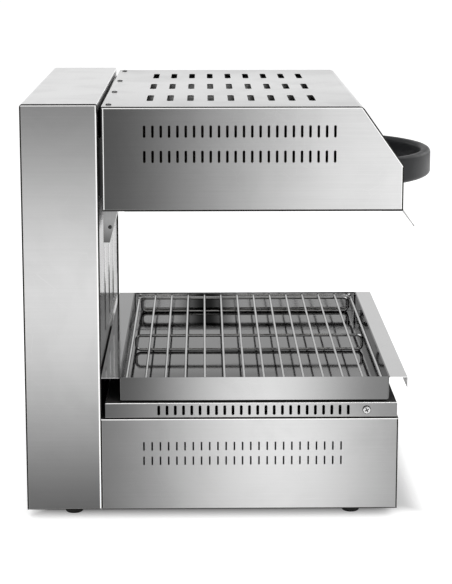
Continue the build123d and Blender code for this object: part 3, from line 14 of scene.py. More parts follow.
import bmesh
import bpy
from mathutils import Matrix, Vector


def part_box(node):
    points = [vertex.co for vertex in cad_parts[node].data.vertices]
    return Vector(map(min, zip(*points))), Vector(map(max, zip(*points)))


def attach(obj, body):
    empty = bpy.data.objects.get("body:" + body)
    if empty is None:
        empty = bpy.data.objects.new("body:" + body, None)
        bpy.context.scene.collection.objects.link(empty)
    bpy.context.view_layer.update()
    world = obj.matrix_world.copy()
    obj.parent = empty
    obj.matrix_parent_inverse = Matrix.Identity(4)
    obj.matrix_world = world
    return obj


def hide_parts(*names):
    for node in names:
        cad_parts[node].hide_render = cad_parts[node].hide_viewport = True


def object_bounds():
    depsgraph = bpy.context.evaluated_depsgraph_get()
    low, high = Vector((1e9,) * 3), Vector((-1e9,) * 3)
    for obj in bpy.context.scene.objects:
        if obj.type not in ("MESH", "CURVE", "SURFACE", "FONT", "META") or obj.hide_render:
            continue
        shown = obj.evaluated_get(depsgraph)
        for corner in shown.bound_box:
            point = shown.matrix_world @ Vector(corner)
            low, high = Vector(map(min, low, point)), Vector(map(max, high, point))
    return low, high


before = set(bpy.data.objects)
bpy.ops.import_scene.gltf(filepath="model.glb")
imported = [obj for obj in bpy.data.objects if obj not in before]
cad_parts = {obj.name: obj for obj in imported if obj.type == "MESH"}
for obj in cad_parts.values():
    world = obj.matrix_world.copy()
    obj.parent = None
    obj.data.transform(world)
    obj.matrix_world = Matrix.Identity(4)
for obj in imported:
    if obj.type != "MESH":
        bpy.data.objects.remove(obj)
CAD_BOX = [list(corner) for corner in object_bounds()]
LOG = logging.getLogger("cheese_melter")
MM = 0.001
ORIGIN = (0.0, 0.0, 0.0)
ONES = (1.0, 1.0, 1.0)
# Painted shade for seams and for faces that don't look outwards, and a painted highlight along panel edges.
PAINTED_SHADE = (0.022, 0.021, 0.020, 1.0)
GLINT = (0.96, 0.96, 0.95, 1.0)

Triple = tuple[float, float, float]
Socket = bpy.types.NodeSocket
Mesh = bmesh.types.BMesh


# ---- Nodes --------------------------------------------------------------------------------------


class NodeBench:
    """Adds and joins the nodes of one material, world or node group."""

    def __init__(self, tree: bpy.types.NodeTree) -> None:
        """Keeps the tree that the nodes go into."""
        self.tree = tree

    def feed(self, socket: Socket, value: object) -> None:
        """Joins a socket to another one, or gives it a plain value."""
        if isinstance(value, bpy.types.NodeSocket):
            self.tree.links.new(value, socket)
        else:
            socket.default_value = value

    def add(self, kind: str, values: dict | None = None, **settings: object) -> bpy.types.Node:
        """Adds a shader node.

        Args:
            kind: The node's type without its ShaderNode prefix.
            values: Sockets by name or number, each with a value or another socket.
            settings: The node's own settings.

        Returns:
            The new node.
        """
        node = self.tree.nodes.new("ShaderNode" + kind)
        for name, setting in settings.items():
            setattr(node, name, setting)
        for key, value in (values or {}).items():
            self.feed(node.inputs[key], value)
        return node

    def place(self, group: bpy.types.NodeTree, *values: object) -> list[Socket]:
        """Places a shared group.

        Args:
            group: The group.
            values: What goes into its inputs, in their order.

        Returns:
            What it puts out.
        """
        node = self.tree.nodes.new("ShaderNodeGroup")
        node.node_tree = group
        for socket, value in zip(node.inputs, values):
            self.feed(socket, value)
        return list(node.outputs)

    def maths(self, operation: str, *values: object) -> Socket:
        """Adds a Math node and returns what it puts out."""
        return self.add("Math", dict(enumerate(values)), operation=operation).outputs[0]

    def vector(self, operation: str, *values: object) -> Socket:
        """Adds a Vector Math node and returns what it puts out."""
        outputs = self.add("VectorMath", dict(enumerate(values)), operation=operation).outputs
        return outputs["Value"] if operation == "DOT_PRODUCT" else outputs[0]

    def scale(self, colour: object, factor: object) -> Socket:
        """Multiplies a colour or a vector by a number and returns it."""
        return self.add("VectorMath", {0: colour, "Scale": factor}, operation="SCALE").outputs[0]

    def ramp(self, value: object, low: object, high: object, to_low: object, to_high: object) -> Socket:
        """Adds a smooth Map Range from low..high to to_low..to_high and returns what it puts out."""
        sockets = {"Value": value, "From Min": low, "From Max": high, "To Min": to_low, "To Max": to_high}
        return self.add("MapRange", sockets, interpolation_type="SMOOTHSTEP").outputs[0]

    def mix(self, share: object, first: object, second: object) -> Socket:
        """Adds a colour mix.

        Args:
            share: How much of the second colour shows.
            first: The first colour.
            second: The second colour.

        Returns:
            What it puts out.
        """
        node = self.add("Mix", data_type="RGBA")
        for socket, value in zip((node.inputs[0], node.inputs[6], node.inputs[7]), (share, first, second)):
            self.feed(socket, value)
        return node.outputs[2]

    def noise(
        self, where: object, scale: float, detail: float, roughness: float = 0.5, distortion: float = 0.0
    ) -> Socket:
        """Adds a Noise Texture and returns its value."""
        sockets = {"Vector": where, "Scale": scale, "Detail": detail, "Roughness": roughness}
        return self.add("TexNoise", sockets | {"Distortion": distortion}).outputs[0]

    def cells(self, where: object, scale: float, feature: str = "F1") -> Socket:
        """Adds a Voronoi Texture and returns its distance."""
        return self.add("TexVoronoi", {"Vector": where, "Scale": scale}, feature=feature).outputs[0]

    def bump(self, height: object, strength: float, distance: float) -> Socket:
        """Adds a Bump node and returns its normal."""
        return self.add("Bump", {"Height": height, "Strength": strength, "Distance": distance}).outputs[0]


# ---- Shared effects -----------------------------------------------------------------------------


def surface_group(*outputs: str, **inputs: object) -> Callable:
    """Turns the function that follows into a shared shader node group, built at its first use.

    The function gets a bench and the group's inputs, and returns what the group puts out.

    Args:
        outputs: Names of the numbers that the group puts out.
        inputs: Each input's name with its default, a number or a vector.

    Returns:
        The decorator, which leaves a function that returns the group.
    """

    def wrap(wire: Callable) -> Callable[[], bpy.types.NodeTree]:
        """Stands in for a wiring function by one that returns the group."""

        @functools.cache
        def build() -> bpy.types.NodeTree:
            """Builds the group at its first use and returns it."""
            group = bpy.data.node_groups.new(wire.__name__, "ShaderNodeTree")
            for label, default in inputs.items():
                kind = "NodeSocketVector" if isinstance(default, tuple) else "NodeSocketFloat"
                socket = group.interface.new_socket(name=label, in_out="INPUT", socket_type=kind)
                socket.default_value = default
            for label in outputs:
                group.interface.new_socket(name=label, in_out="OUTPUT", socket_type="NodeSocketFloat")
            bench = NodeBench(group)
            given = group.nodes.new("NodeGroupInput").outputs
            out = group.nodes.new("NodeGroupOutput").inputs
            for index, value in enumerate(wire(bench, *given[:len(inputs)])):
                bench.feed(out[index], value)
            return group

        return functools.update_wrapper(build, wire)

    return wrap


@surface_group("Tone", "Height", Coordinates=ORIGIN, Stretch=ONES, Contrast=0.1)
def brushed_grain(bench: NodeBench, where: Socket, stretch: Socket, contrast: Socket) -> tuple[Socket, ...]:
    """Long fine scratches of brushed sheet.

    Args:
        bench: The bench of the group.
        where: Place of the point.
        stretch: Pitch of the grain per metre on each axis.
        contrast: How far the tone goes from 1.

    Returns:
        A tone near 1 and a height.
    """
    fine = bench.vector("MULTIPLY", where, stretch)
    strokes = bench.noise(fine, 1.0, 4.0, 0.7)
    drags = bench.noise(bench.scale(fine, 0.13), 1.0, 2.0)
    height = bench.maths("ADD", bench.maths("MULTIPLY", strokes, 0.7), bench.maths("MULTIPLY", drags, 0.3))
    centred = bench.maths("MULTIPLY", bench.maths("SUBTRACT", height, 0.5), 2.0)
    return bench.maths("MULTIPLY_ADD", centred, contrast, 1.0), height


@surface_group("Tone", Position=0.0, Start=0.0, Peak=0.5, End=1.0, StartTone=1.0, PeakTone=1.0, EndTone=1.0)
def painted_light_band(
    bench: NodeBench, position: Socket, start: Socket, peak: Socket, end: Socket,
    start_tone: Socket, peak_tone: Socket, end_tone: Socket,
) -> tuple[Socket, ...]:
    """Painted light and shade: a broad soft shift of tone along a sheet.

    Args:
        bench: The bench of the group.
        position: Place of the point along the sheet.
        start: Where the shift starts.
        peak: Where its brightest place lies.
        end: Where it ends.
        start_tone: Tone at the start.
        peak_tone: Tone at the peak.
        end_tone: Tone at the end.

    Returns:
        The tone.
    """
    rise = bench.ramp(position, start, peak, start_tone, peak_tone)
    fall = bench.ramp(position, peak, end, 0.0, 1.0)
    change = bench.maths("MULTIPLY", fall, bench.maths("SUBTRACT", end_tone, peak_tone))
    return (bench.maths("ADD", rise, change),)


@surface_group("Tone", "Roughness", Coordinates=ORIGIN, Size=0.06, Amount=0.05)
def hand_marks(bench: NodeBench, where: Socket, size: Socket, amount: Socket) -> tuple[Socket, ...]:
    """Wiped smudges and a few crossing scratches.

    Args:
        bench: The bench of the group.
        where: Place of the point.
        size: Size of a smudge in metres.
        amount: How much darker and rougher a smudge is.

    Returns:
        A tone near 1 and a change of roughness.
    """
    spread = bench.scale(where, bench.maths("DIVIDE", 1.0, size))
    smudge = bench.ramp(bench.noise(spread, 1.0, 3.0, 0.55, 0.6), 0.42, 0.7, 0.0, 1.0)
    scratch = bench.ramp(bench.cells(spread, 3.1, "DISTANCE_TO_EDGE"), 0.0, 0.012, 1.0, 0.0)
    darker = bench.maths("MULTIPLY", smudge, amount)
    lighter = bench.maths("MULTIPLY", bench.maths("MULTIPLY", scratch, darker), 1.6)
    return bench.maths("ADD", bench.maths("SUBTRACT", 1.0, darker), lighter), darker


@surface_group(
    "Gap", "Line", Coordinates=ORIGIN, Outwards=(0.0, 0.0, 1.0), Edge=0.0, GapWidth=1 * MM, LineWidth=1 * MM
)
def seam_shadow_and_highlight(
    bench: NodeBench, where: Socket, outwards: Socket, edge: Socket, gap: Socket, line: Socket
) -> tuple[Socket, ...]:
    """Painted shadow in the gap along one straight edge of a panel and a painted highlight line inside it.

    Args:
        bench: The bench of the group.
        where: Place of the point.
        outwards: Unit vector across the edge.
        edge: How far out the edge lies.
        gap: Width of the painted shadow in the gap.
        line: Width of the painted highlight line.

    Returns:
        The mask of the painted shadow and the mask of the painted highlight.
    """
    depth = bench.maths("SUBTRACT", edge, bench.vector("DOT_PRODUCT", where, outwards))
    past_gap = bench.maths("SUBTRACT", depth, gap)
    past_line = bench.maths("SUBTRACT", past_gap, line)
    # In the gap lies painted shadow, and just inside it a painted highlight line.
    in_seam_shadow = bench.ramp(past_gap, -0.2 * MM, 0.1 * MM, 1.0, 0.0)
    inside = bench.ramp(past_gap, -0.2 * MM, 0.1 * MM, 0.0, 1.0)
    return in_seam_shadow, bench.maths("MULTIPLY", inside, bench.ramp(past_line, -0.3 * MM, 0.3 * MM, 1.0, 0.0))


@surface_group("Mask", Coordinates=ORIGIN, Middle=ORIGIN, Half=ONES, Soft=ONES)
def box_zone(
    bench: NodeBench, where: Socket, middle_point: Socket, half: Socket, soft: Socket
) -> tuple[Socket, ...]:
    """What lies inside an upright box, such as a tray's floor or one of its flanges.

    Args:
        bench: The bench of the group.
        where: Place of the point.
        middle_point: Middle of the box.
        half: Half of its size on each axis.
        soft: How soft its sides are on each axis.

    Returns:
        The mask.
    """
    away = bench.vector("ABSOLUTE", bench.vector("SUBTRACT", where, middle_point))
    past = bench.vector("DIVIDE", bench.vector("SUBTRACT", away, half), soft)
    axes = bench.add("SeparateXYZ", {0: past}).outputs
    furthest = bench.maths("MAXIMUM", bench.maths("MAXIMUM", axes[0], axes[1]), axes[2])
    return (bench.ramp(furthest, -1.0, 1.0, 1.0, 0.0),)


@surface_group("Mask", Normal=(0.0, 0.0, 1.0), Coordinates=ORIGIN, Middle=ORIGIN, Weights=ONES)
def inner_shade(
    bench: NodeBench, normal: Socket, where: Socket, middle_point: Socket, weights: Socket
) -> tuple[Socket, ...]:
    """What doesn't look outwards: the walls of pressed holes, cut edges and a sheet's hidden side.

    Args:
        bench: The bench of the group.
        normal: Which way the face looks.
        where: Place of the point.
        middle_point: Middle that the sheet folds round.
        weights: Weight of each axis.

    Returns:
        The mask.
    """
    away = bench.vector("MULTIPLY", bench.vector("SUBTRACT", where, middle_point), weights)
    lean = bench.vector("DOT_PRODUCT", normal, bench.vector("NORMALIZE", away))
    return (bench.ramp(lean, 0.12, 0.3, 1.0, 0.0),)


@surface_group("Tone", "Height", Coordinates=ORIGIN, Size=0.0008, Contrast=0.1)
def moulded_skin(bench: NodeBench, where: Socket, size: Socket, contrast: Socket) -> tuple[Socket, ...]:
    """Fine skin of moulded or cast surfaces.

    Args:
        bench: The bench of the group.
        where: Place of the point.
        size: Size of a pebble of the skin in metres.
        contrast: How far the tone goes from 1.

    Returns:
        A tone near 1 and a height.
    """
    fine = bench.scale(where, bench.maths("DIVIDE", 1.0, size))
    pebbles = bench.cells(fine, 1.0, "SMOOTH_F1")
    broad = bench.maths("SUBTRACT", bench.noise(fine, 0.04, 3.0), 0.5)
    return bench.maths("MULTIPLY_ADD", broad, contrast, 1.0), bench.maths("SUBTRACT", 1.0, pebbles)


# ---- Finishes -----------------------------------------------------------------------------------


class Grain(Enum):
    """Which way a sheet was brushed, as the grain's pitch per metre along X, Y and Z."""

    ALONG_X = (14.0, 2600.0, 2600.0)
    ALONG_Y = (2600.0, 14.0, 2600.0)
    ALONG_Z = (2600.0, 2600.0, 14.0)
    POLISHED = (60.0, 900.0, 900.0)


class Axis(Enum):
    """Axis that a band of painted light and shade runs along."""

    X = 0
    Y = 1
    Z = 2


@dataclass(frozen=True)
class PaintedLightBand:
    """Painted light and shade on a sheet: a soft shift of its tone along one axis, from a start over a peak
    to an end, in metres.
    """

    axis: Axis
    places: Triple
    tones: Triple


@dataclass(frozen=True)
class PaintedLightZone:
    """A box of a sheet with a painted tone of its own, standing for a reflection or shade there: two corners
    and how soft its sides are, in metres.
    """

    low: Triple
    high: Triple
    tone: float
    soft: Triple = (0.3 * MM, 0.3 * MM, 0.3 * MM)


@dataclass(frozen=True)
class PaintedSeam:
    """One straight edge of a panel: painted shadow in the gap at the edge and a painted highlight line inside
    it, in metres.
    """

    outwards: Triple
    edge: float
    gap: float
    line: float


@dataclass(frozen=True)
class InnerShade:
    """Which way is outwards on a sheet, as the middle it folds round and a weight for each axis."""

    middle_point: Triple
    weights: Triple


OUTWARDS = {
    "back": Vector((0, 1, 0)),
    "front": Vector((0, -1, 0)),
    "bottom": Vector((0, 0, -1)),
    "top": Vector((0, 0, 1)),
}
SIDE_PANEL = InnerShade(ORIGIN, (1.0, 0.0, 0.0))
FRONT_FACING = InnerShade(ORIGIN, (0.0, 1.0, 0.0))


def grey(level: float) -> Triple:
    """Neutral colour of one level."""
    return (level, level, level)


def outline(node: str, **widths: tuple[float, float]) -> tuple[PaintedSeam, ...]:
    """Works out the painted seam shadows and edge highlights along a panel's outline.

    Args:
        node: The CAD node whose box gives the outline.
        widths: For back, front, bottom and top, the widths of the painted shadow and of the painted highlight
            line in millimetres.

    Returns:
        A trim for each edge that is named.
    """
    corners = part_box(node)
    trims = []
    for side, (gap, line) in widths.items():
        outwards = OUTWARDS[side]
        edge = max(outwards.dot(corner) for corner in corners)
        trims.append(PaintedSeam(tuple(outwards), edge, gap * MM, line * MM))
    return tuple(trims)


def brow_seam_shading(gap: float, line: float, run: float = 49.6, foot: float = 55.1) -> PaintedSeam:
    """Works out the painted seam shadow and edge highlight along the hood's sloping front edge.

    Args:
        gap: Width of the painted shadow in the gap, in millimetres.
        line: Width of the painted highlight line in millimetres.
        run: How far back the slope's top lies, in millimetres.
        foot: How high the slope's foot lies above the hood's underside, in millimetres.

    Returns:
        The painted seam shadow and highlight, which look forwards and up.
    """
    low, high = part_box("hood_wrap")
    top_corner = Vector((0.0, low.y + run * MM, high.z))
    fall = Vector((0.0, low.y, low.z + foot * MM)) - top_corner
    outwards = Vector((0.0, fall.z, -fall.y)).normalized()
    return PaintedSeam(tuple(outwards), outwards.dot(top_corner), gap * MM, line * MM)


def folded_round(node: str, axes: str) -> InnerShade:
    """Works out the inner shade of a sheet that folds round the middle of its box.

    Args:
        node: The sheet's CAD node.
        axes: The axes across which it folds, such as "yz".

    Returns:
        The inner shade.
    """
    low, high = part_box(node)
    half = (high - low) / 2
    weights = tuple(1 / half[i] if axis in axes else 0.0 for i, axis in enumerate("xyz"))
    return InnerShade(tuple((low + high) / 2), weights)


def tray_painted_reflections() -> tuple[PaintedLightZone, ...]:
    """Works out the painted reflections and shade of the drip tray, which mirrors the hood and the surround.

    Returns:
        Painted tones for the floor, a patch of painted shade on it, the far wall's bright painted reflection,
        a patch of painted shade on that, the back and front walls, and the front and back flanges, lighter at
        the front.
    """
    low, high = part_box("drip_tray")
    sheet, front_flange, back_flange, bend = 1.0 * MM, 22.6 * MM, 22.1 * MM, 1.3 * MM
    side = high.x - sheet / 2
    front, back = low.y + front_flange + sheet / 2, high.y - back_flange - sheet / 2
    floor, rim = low.z + sheet + bend, high.z - 1.5 * MM
    wall_foot = low.z + bend
    under, over = low.z - 9 * MM, high.z + 2 * MM
    beyond = 8 * MM
    crisp = 0.3 * MM
    return (
        PaintedLightZone((-side, front, low.z - sheet), (side, back, floor), 0.3),
        PaintedLightZone((-0.19, -0.06, low.z - sheet), (-0.1, 0.12, floor), 0.15, (0.03, 0.06, crisp)),
        PaintedLightZone((side - sheet, front, wall_foot), (side, back, rim), 1.45),
        PaintedLightZone((side - sheet, 0.0, wall_foot), (side, 0.06, rim), 0.08, (crisp, 0.025, crisp)),
        PaintedLightZone((-side, back - sheet, wall_foot), (side, back, rim), 0.3),
        PaintedLightZone((-side, front, wall_foot), (side, front + sheet, rim), 0.13),
        PaintedLightZone((low.x - beyond, low.y - beyond, under), (high.x + beyond, front - bend, over), 1.02),
        PaintedLightZone((low.x - beyond, back + bend, under), (high.x + beyond, high.y + beyond, over), 0.44),
    )


@dataclass(frozen=True)
class Finish:
    """A named finish, whose kind says how it is wired up."""

    name: str

    @functools.cache
    def make(self) -> bpy.types.Material:
        """Builds the material at its first use.

        Returns:
            The material.
        """
        material = bpy.data.materials.new(self.name)
        material.use_nodes = True
        bench = NodeBench(material.node_tree)
        shader = material.node_tree.nodes["Principled BSDF"]
        where = bench.add("TexCoord").outputs["Object"]
        for socket, value in self.surface(bench, where).items():
            bench.feed(shader.inputs[socket], value)
        return material

    def surface(self, bench: NodeBench, where: Socket) -> dict[str, object]:
        """Wires the finish up.

        Args:
            bench: The bench of the material.
            where: Place of the point.

        Returns:
            What goes into the shader's sockets, by their names.
        """
        raise NotImplementedError


@dataclass(frozen=True)
class SteelFinish(Finish):
    """Stainless sheet or rod: brushed or polished, with its painted band of light and shade, painted zones of
    reflection and shade, painted seam shadows and edge highlights, and painted shade on its hidden sides.
    """

    colour: Triple = grey(0.74)
    roughness: float = 0.3
    grain: Grain = Grain.ALONG_X
    contrast: float = 0.1
    band: PaintedLightBand | None = None
    zones: tuple[PaintedLightZone, ...] = ()
    trims: tuple[PaintedSeam, ...] = ()
    shade: InnerShade | None = None
    marks: float = 0.04
    bump: float = 0.05
    edge_tint: float = 1.0

    def tone(self, bench: NodeBench, where: Socket, tone: Socket) -> Socket:
        """Carries the band of painted light and shade and the painted reflection zones over the grain's tone.

        Args:
            bench: The bench of the material.
            where: Place of the point.
            tone: The grain's tone.

        Returns:
            The tone with them.
        """
        # The band paints light and shade along one axis.
        if self.band:
            along = bench.add("SeparateXYZ", {0: where}).outputs[self.band.axis.value]
            shift = bench.place(painted_light_band(), along, *self.band.places, *self.band.tones)[0]
            tone = bench.maths("MULTIPLY", tone, shift)
        # Each zone paints a reflection or shade of its own.
        for zone in self.zones:
            low, high = Vector(zone.low), Vector(zone.high)
            mask = bench.place(box_zone(), where, (low + high) / 2, (high - low) / 2, zone.soft)[0]
            tone = bench.maths("MULTIPLY_ADD", mask, bench.maths("SUBTRACT", zone.tone, tone), tone)
        return tone

    def surface(self, bench: NodeBench, where: Socket) -> dict[str, object]:
        """Lays grain, marks and painted tones of light and shade, then the painted seam shadows and edge
        highlights, then painted shade on what doesn't look outwards.

        Args:
            bench: The bench of the material.
            where: Place of the point.

        Returns:
            What goes into the shader's sockets, by their names.
        """
        grain, height = bench.place(brushed_grain(), where, self.grain.value, self.contrast)
        smudge, wear = bench.place(hand_marks(), where, 70 * MM, self.marks)
        colour = bench.scale(self.colour, self.tone(bench, where, bench.maths("MULTIPLY", grain, smudge)))
        rough = bench.maths("ADD", bench.maths("MULTIPLY_ADD", height, 0.12, self.roughness - 0.06), wear)
        metal = 1.0
        # Each trim paints shadow into the seam's gap and a highlight line just inside it.
        for trim in self.trims:
            in_seam_shadow, in_edge_highlight = bench.place(seam_shadow_and_highlight(), where, trim.outwards, trim.edge, trim.gap, trim.line)
            colour = bench.mix(in_seam_shadow, bench.mix(in_edge_highlight, colour, GLINT), PAINTED_SHADE)
        # What doesn't look outwards gets painted shade: near-black, matte and not metallic.
        if self.shade:
            normal = bench.add("NewGeometry").outputs["True Normal"]
            mask = bench.place(inner_shade(), normal, where, self.shade.middle_point, self.shade.weights)[0]
            colour = bench.mix(mask, colour, PAINTED_SHADE)
            rough = bench.maths("MAXIMUM", rough, mask)
            metal = bench.maths("SUBTRACT", 1.0, mask)
        return {
            "Base Color": colour, "Roughness": rough, "Metallic": metal,
            "Specular Tint": (*grey(self.edge_tint), 1.0), "Normal": bench.bump(height, self.bump, 0.2 * MM),
        }


@dataclass(frozen=True)
class MouldedFinish(Finish):
    """Moulded plastic, rubber, casting or mineral wool: one colour with a fine skin and faint wear."""

    colour: Triple
    roughness: float = 0.4
    skin: float = 0.8 * MM
    depth: float = 0.1
    contrast: float = 0.3
    metallic: float = 0.0
    specular: float = 0.5

    def surface(self, bench: NodeBench, where: Socket) -> dict[str, object]:
        """Lays the skin and the marks over the colour.

        Args:
            bench: The bench of the material.
            where: Place of the point.

        Returns:
            What goes into the shader's sockets, by their names.
        """
        tone, height = bench.place(moulded_skin(), where, self.skin, self.contrast)
        smudge, wear = bench.place(hand_marks(), where, 30 * MM, 0.08)
        return {
            "Base Color": bench.scale(self.colour, bench.maths("MULTIPLY", tone, smudge)),
            "Roughness": bench.maths("ADD", wear, self.roughness), "Metallic": self.metallic,
            "Specular IOR Level": self.specular, "Normal": bench.bump(height, self.depth, self.skin * 0.3),
        }


@dataclass(frozen=True)
class LensFinish(Finish):
    """Tinted clear plastic of a pilot lamp, ribbed and a little lit from within."""

    colour: Triple
    ribs: Triple = (1200.0, 20.0, 1200.0)

    def surface(self, bench: NodeBench, where: Socket) -> dict[str, object]:
        """Lays the prisms of the lens over its tint.

        Args:
            bench: The bench of the material.
            where: Place of the point.

        Returns:
            What goes into the shader's sockets, by their names.
        """
        prisms = bench.cells(bench.vector("MULTIPLY", where, self.ribs), 1.0)
        return {
            "Base Color": bench.scale(self.colour, bench.ramp(prisms, 0.0, 1.0, 1.1, 0.6)),
            "Emission Color": bench.scale(self.colour, bench.ramp(prisms, 0.0, 1.0, 0.25, 0.05)),
            "Emission Strength": 0.6, "Roughness": 0.12, "Coat Weight": 0.6,
            "Normal": bench.bump(prisms, 0.3, 0.4 * MM),
        }


@dataclass(frozen=True)
class ElementFinish(Finish):
    """Heat-tinted sheath of a tube element: dark oxide with straw and blue patches."""

    oxide: tuple = (0.055, 0.05, 0.048, 1.0)
    straw: tuple = (0.13, 0.10, 0.075, 1.0)
    blue: tuple = (0.06, 0.075, 0.10, 1.0)

    def surface(self, bench: NodeBench, where: Socket) -> dict[str, object]:
        """Spreads the patches over the oxide.

        Args:
            bench: The bench of the material.
            where: Place of the point.

        Returns:
            What goes into the shader's sockets, by their names.
        """
        patches = bench.noise(where, 22.0, 4.0, 0.6)
        colour = bench.mix(bench.ramp(patches, 0.4, 0.65, 0.0, 1.0), self.oxide, self.straw)
        return {
            "Base Color": bench.mix(bench.ramp(patches, 0.6, 0.75, 0.0, 0.6), colour, self.blue),
            "Roughness": bench.ramp(patches, 0.3, 0.7, 0.6, 0.42), "Metallic": 0.7,
        }


class Steels:
    """The steel finishes of this machine. Bands are painted light and shade, and shades paint shade on what
    doesn't look outwards. Trims give the widths of a painted seam shadow and a painted highlight line in
    millimetres.
    """

    COLUMN_SIDE = SteelFinish(
        "column_side_brushed", grain=Grain.ALONG_Y, roughness=0.32, shade=SIDE_PANEL,
        band=PaintedLightBand(Axis.Z, (-0.01, 0.29, 0.54), (0.152, 0.79, 0.29)),
        trims=outline(
            "column_side_left", back=(0.9, 0.0), front=(0.8, 1.5), bottom=(1.0, 0.0), top=(0.9, 0.8)
        ),
    )
    BASE_SIDE = SteelFinish(
        "base_side_brushed", grey(0.78), grain=Grain.ALONG_Y, roughness=0.32, shade=SIDE_PANEL,
        band=PaintedLightBand(Axis.Y, (-0.245, -0.06, 0.185), (0.36, 0.79, 0.19)),
        trims=outline("base_side_left", back=(1.0, 0.0), front=(1.1, 0.0), bottom=(1.2, 0.0), top=(0.3, 0.9)),
    )
    # The deck's shade also paints its top face, under the tray, and its hidden sides in painted shade.
    DECK = SteelFinish(
        "deck_brushed", grey(0.72), grain=Grain.ALONG_Y, shade=folded_round("base_deck", "xy"),
        band=PaintedLightBand(Axis.Y, (-0.215, -0.04, 0.16), (0.31, 0.75, 0.14)),
        trims=outline("base_deck", bottom=(0.6, 0.0), top=(0.0, 0.9)),
    )
    HOOD_SIDE = SteelFinish(
        "hood_side_brushed", grain=Grain.ALONG_Y, roughness=0.32, contrast=0.14, shade=SIDE_PANEL,
        band=PaintedLightBand(Axis.Y, (-0.26, -0.2, 0.17), (0.95, 0.90, 0.10)),
        trims=outline("hood_wrap", back=(1.6, 0.9), front=(1.7, 0.8), bottom=(2.2, 0.0), top=(1.7, 0.9))
        + (brow_seam_shading(1.7, 0.9),),
    )
    # Its band and zones are painted reflections and shade of the surround.
    TRAY = SteelFinish(
        "tray_polished", grey(0.66), grain=Grain.ALONG_Y, roughness=0.07, contrast=0.04, bump=0.015,
        edge_tint=0.75, band=PaintedLightBand(Axis.Y, (-0.19, -0.041, 0.14), (0.24, 0.82, 0.11)), zones=tray_painted_reflections(),
    )
    COLUMN_WRAP = SteelFinish(
        "column_wrap_brushed", grey(0.88), shade=folded_round("column_wrap", "yz"),
        band=PaintedLightBand(Axis.Z, (-0.1, 0.35, 0.5), (0.35, 0.75, 1.0)),
    )
    HOOD_WRAP = SteelFinish(
        "hood_wrap_brushed", grey(0.86), shade=folded_round("hood_wrap", "yz"),
        band=PaintedLightBand(Axis.X, (-0.32, 0.02, 0.35), (0.82, 1.0, 0.8)),
    )
    FRONT_PANEL = SteelFinish(
        "front_panel_brushed", grey(0.76), shade=FRONT_FACING,
        band=PaintedLightBand(Axis.X, (-0.3, 0.05, 0.32), (0.45, 0.8, 0.5)),
        trims=outline("base_front_panel", bottom=(0.8, 0.0), top=(0.2, 1.0)),
    )
    COLUMN_FRONT = SteelFinish(
        "column_front_polished", grey(0.66), grain=Grain.ALONG_Z, roughness=0.12, contrast=0.3, edge_tint=0.4,
        band=PaintedLightBand(Axis.Z, (0.13, 0.25, 0.4), (0.28, 0.95, 1.0)),
    )
    SKIRT = SteelFinish(
        "skirt_sheet", grey(0.3), grain=Grain.ALONG_Z, roughness=0.34, contrast=0.2,
        band=PaintedLightBand(Axis.Z, (0.335, 0.372, 0.4), (0.35, 1.0, 0.8)),
    )
    FLAP = SteelFinish("flap_sheet", grey(0.34), contrast=0.16, trims=outline("heat_flap", front=(2.6, 0.0)))
    DARK = SteelFinish("hood_rear_sheet", grey(0.07), roughness=0.5)
    # The dark grey of the inner sheets stands in for the shade inside the casing: painted shade.
    HIDDEN = SteelFinish("inner_sheet_shaded", (0.16, 0.16, 0.155), roughness=0.45, marks=0.1)
    REFLECTOR = SteelFinish("reflector_bright", (0.68, 0.66, 0.62), roughness=0.2, marks=0.12)
    WIRE = SteelFinish("rack_bright_wire", grey(0.37), 0.07, Grain.POLISHED, contrast=0.05, bump=0.02)
    ROD = SteelFinish("ground_rod", (0.66, 0.66, 0.67), 0.14, Grain.ALONG_Z, contrast=0.04, bump=0.02)
    SCREW = SteelFinish("screw_bright", grey(0.62), 0.2, Grain.POLISHED, contrast=0.06, bump=0.02)
    # Near-black for screw recesses and rims: painted shade.
    RECESS_SHADE = SteelFinish("screw_recess_shade", grey(0.05), roughness=0.4)
    ZINC = SteelFinish("zinc_plate", (0.5, 0.5, 0.47), roughness=0.36, marks=0.12)
    ROPE = SteelFinish("steel_rope", grey(0.4), 0.4, Grain.ALONG_Z, bump=0.3)


class Mouldings:
    """The plastic, rubber, cast and wool finishes of this machine: colour, roughness and skin."""

    HANDLE = MouldedFinish("handle_plastic", (0.011, 0.0115, 0.013), skin=0.6 * MM, depth=0.05, specular=0.25)
    KNOB = MouldedFinish("knob_plastic", (0.012, 0.012, 0.013), 0.34, 0.5 * MM, 0.05, specular=0.35)
    SWITCH = MouldedFinish("switch_plastic", (0.02, 0.02, 0.021), 0.36, 0.5 * MM, 0.08)
    RUBBER = MouldedFinish("foot_moulding", (0.016, 0.016, 0.015), 0.62, 0.7 * MM, 0.2, specular=0.3)
    # Near-black seal strip along the deck's foot; its black also stands in for the shadowed gap there,
    # painted shade.
    SEAL = MouldedFinish("seal_rubber_and_gap_shade", grey(0.012), 0.6, specular=0.2)
    PRINT = MouldedFinish("dial_print", (0.03, 0.03, 0.032), 0.5, depth=0.0, contrast=0.05)
    WHITE_MARK = MouldedFinish("white_mark", (0.8, 0.8, 0.78), 0.45, depth=0.0, contrast=0.05)
    SHOE = MouldedFinish("shoe_nylon", (0.72, 0.70, 0.63), 0.42)
    RUNNER = MouldedFinish("runner_black", grey(0.012), 0.5, specular=0.2)
    IRON = MouldedFinish("weight_casting", (0.07, 0.07, 0.072), 0.62, 2 * MM, 0.5, metallic=0.5)
    CONTROL = MouldedFinish("control_plastic", (0.55, 0.53, 0.47), 0.45)
    TERMINAL = MouldedFinish("terminal_plastic", (0.74, 0.73, 0.69))
    GLAND = MouldedFinish("gland_black", grey(0.018), 0.45, 0.5 * MM)
    WOOL = MouldedFinish("wool_mat", (0.30, 0.27, 0.21), 0.95, 4 * MM, 0.9, 0.6)


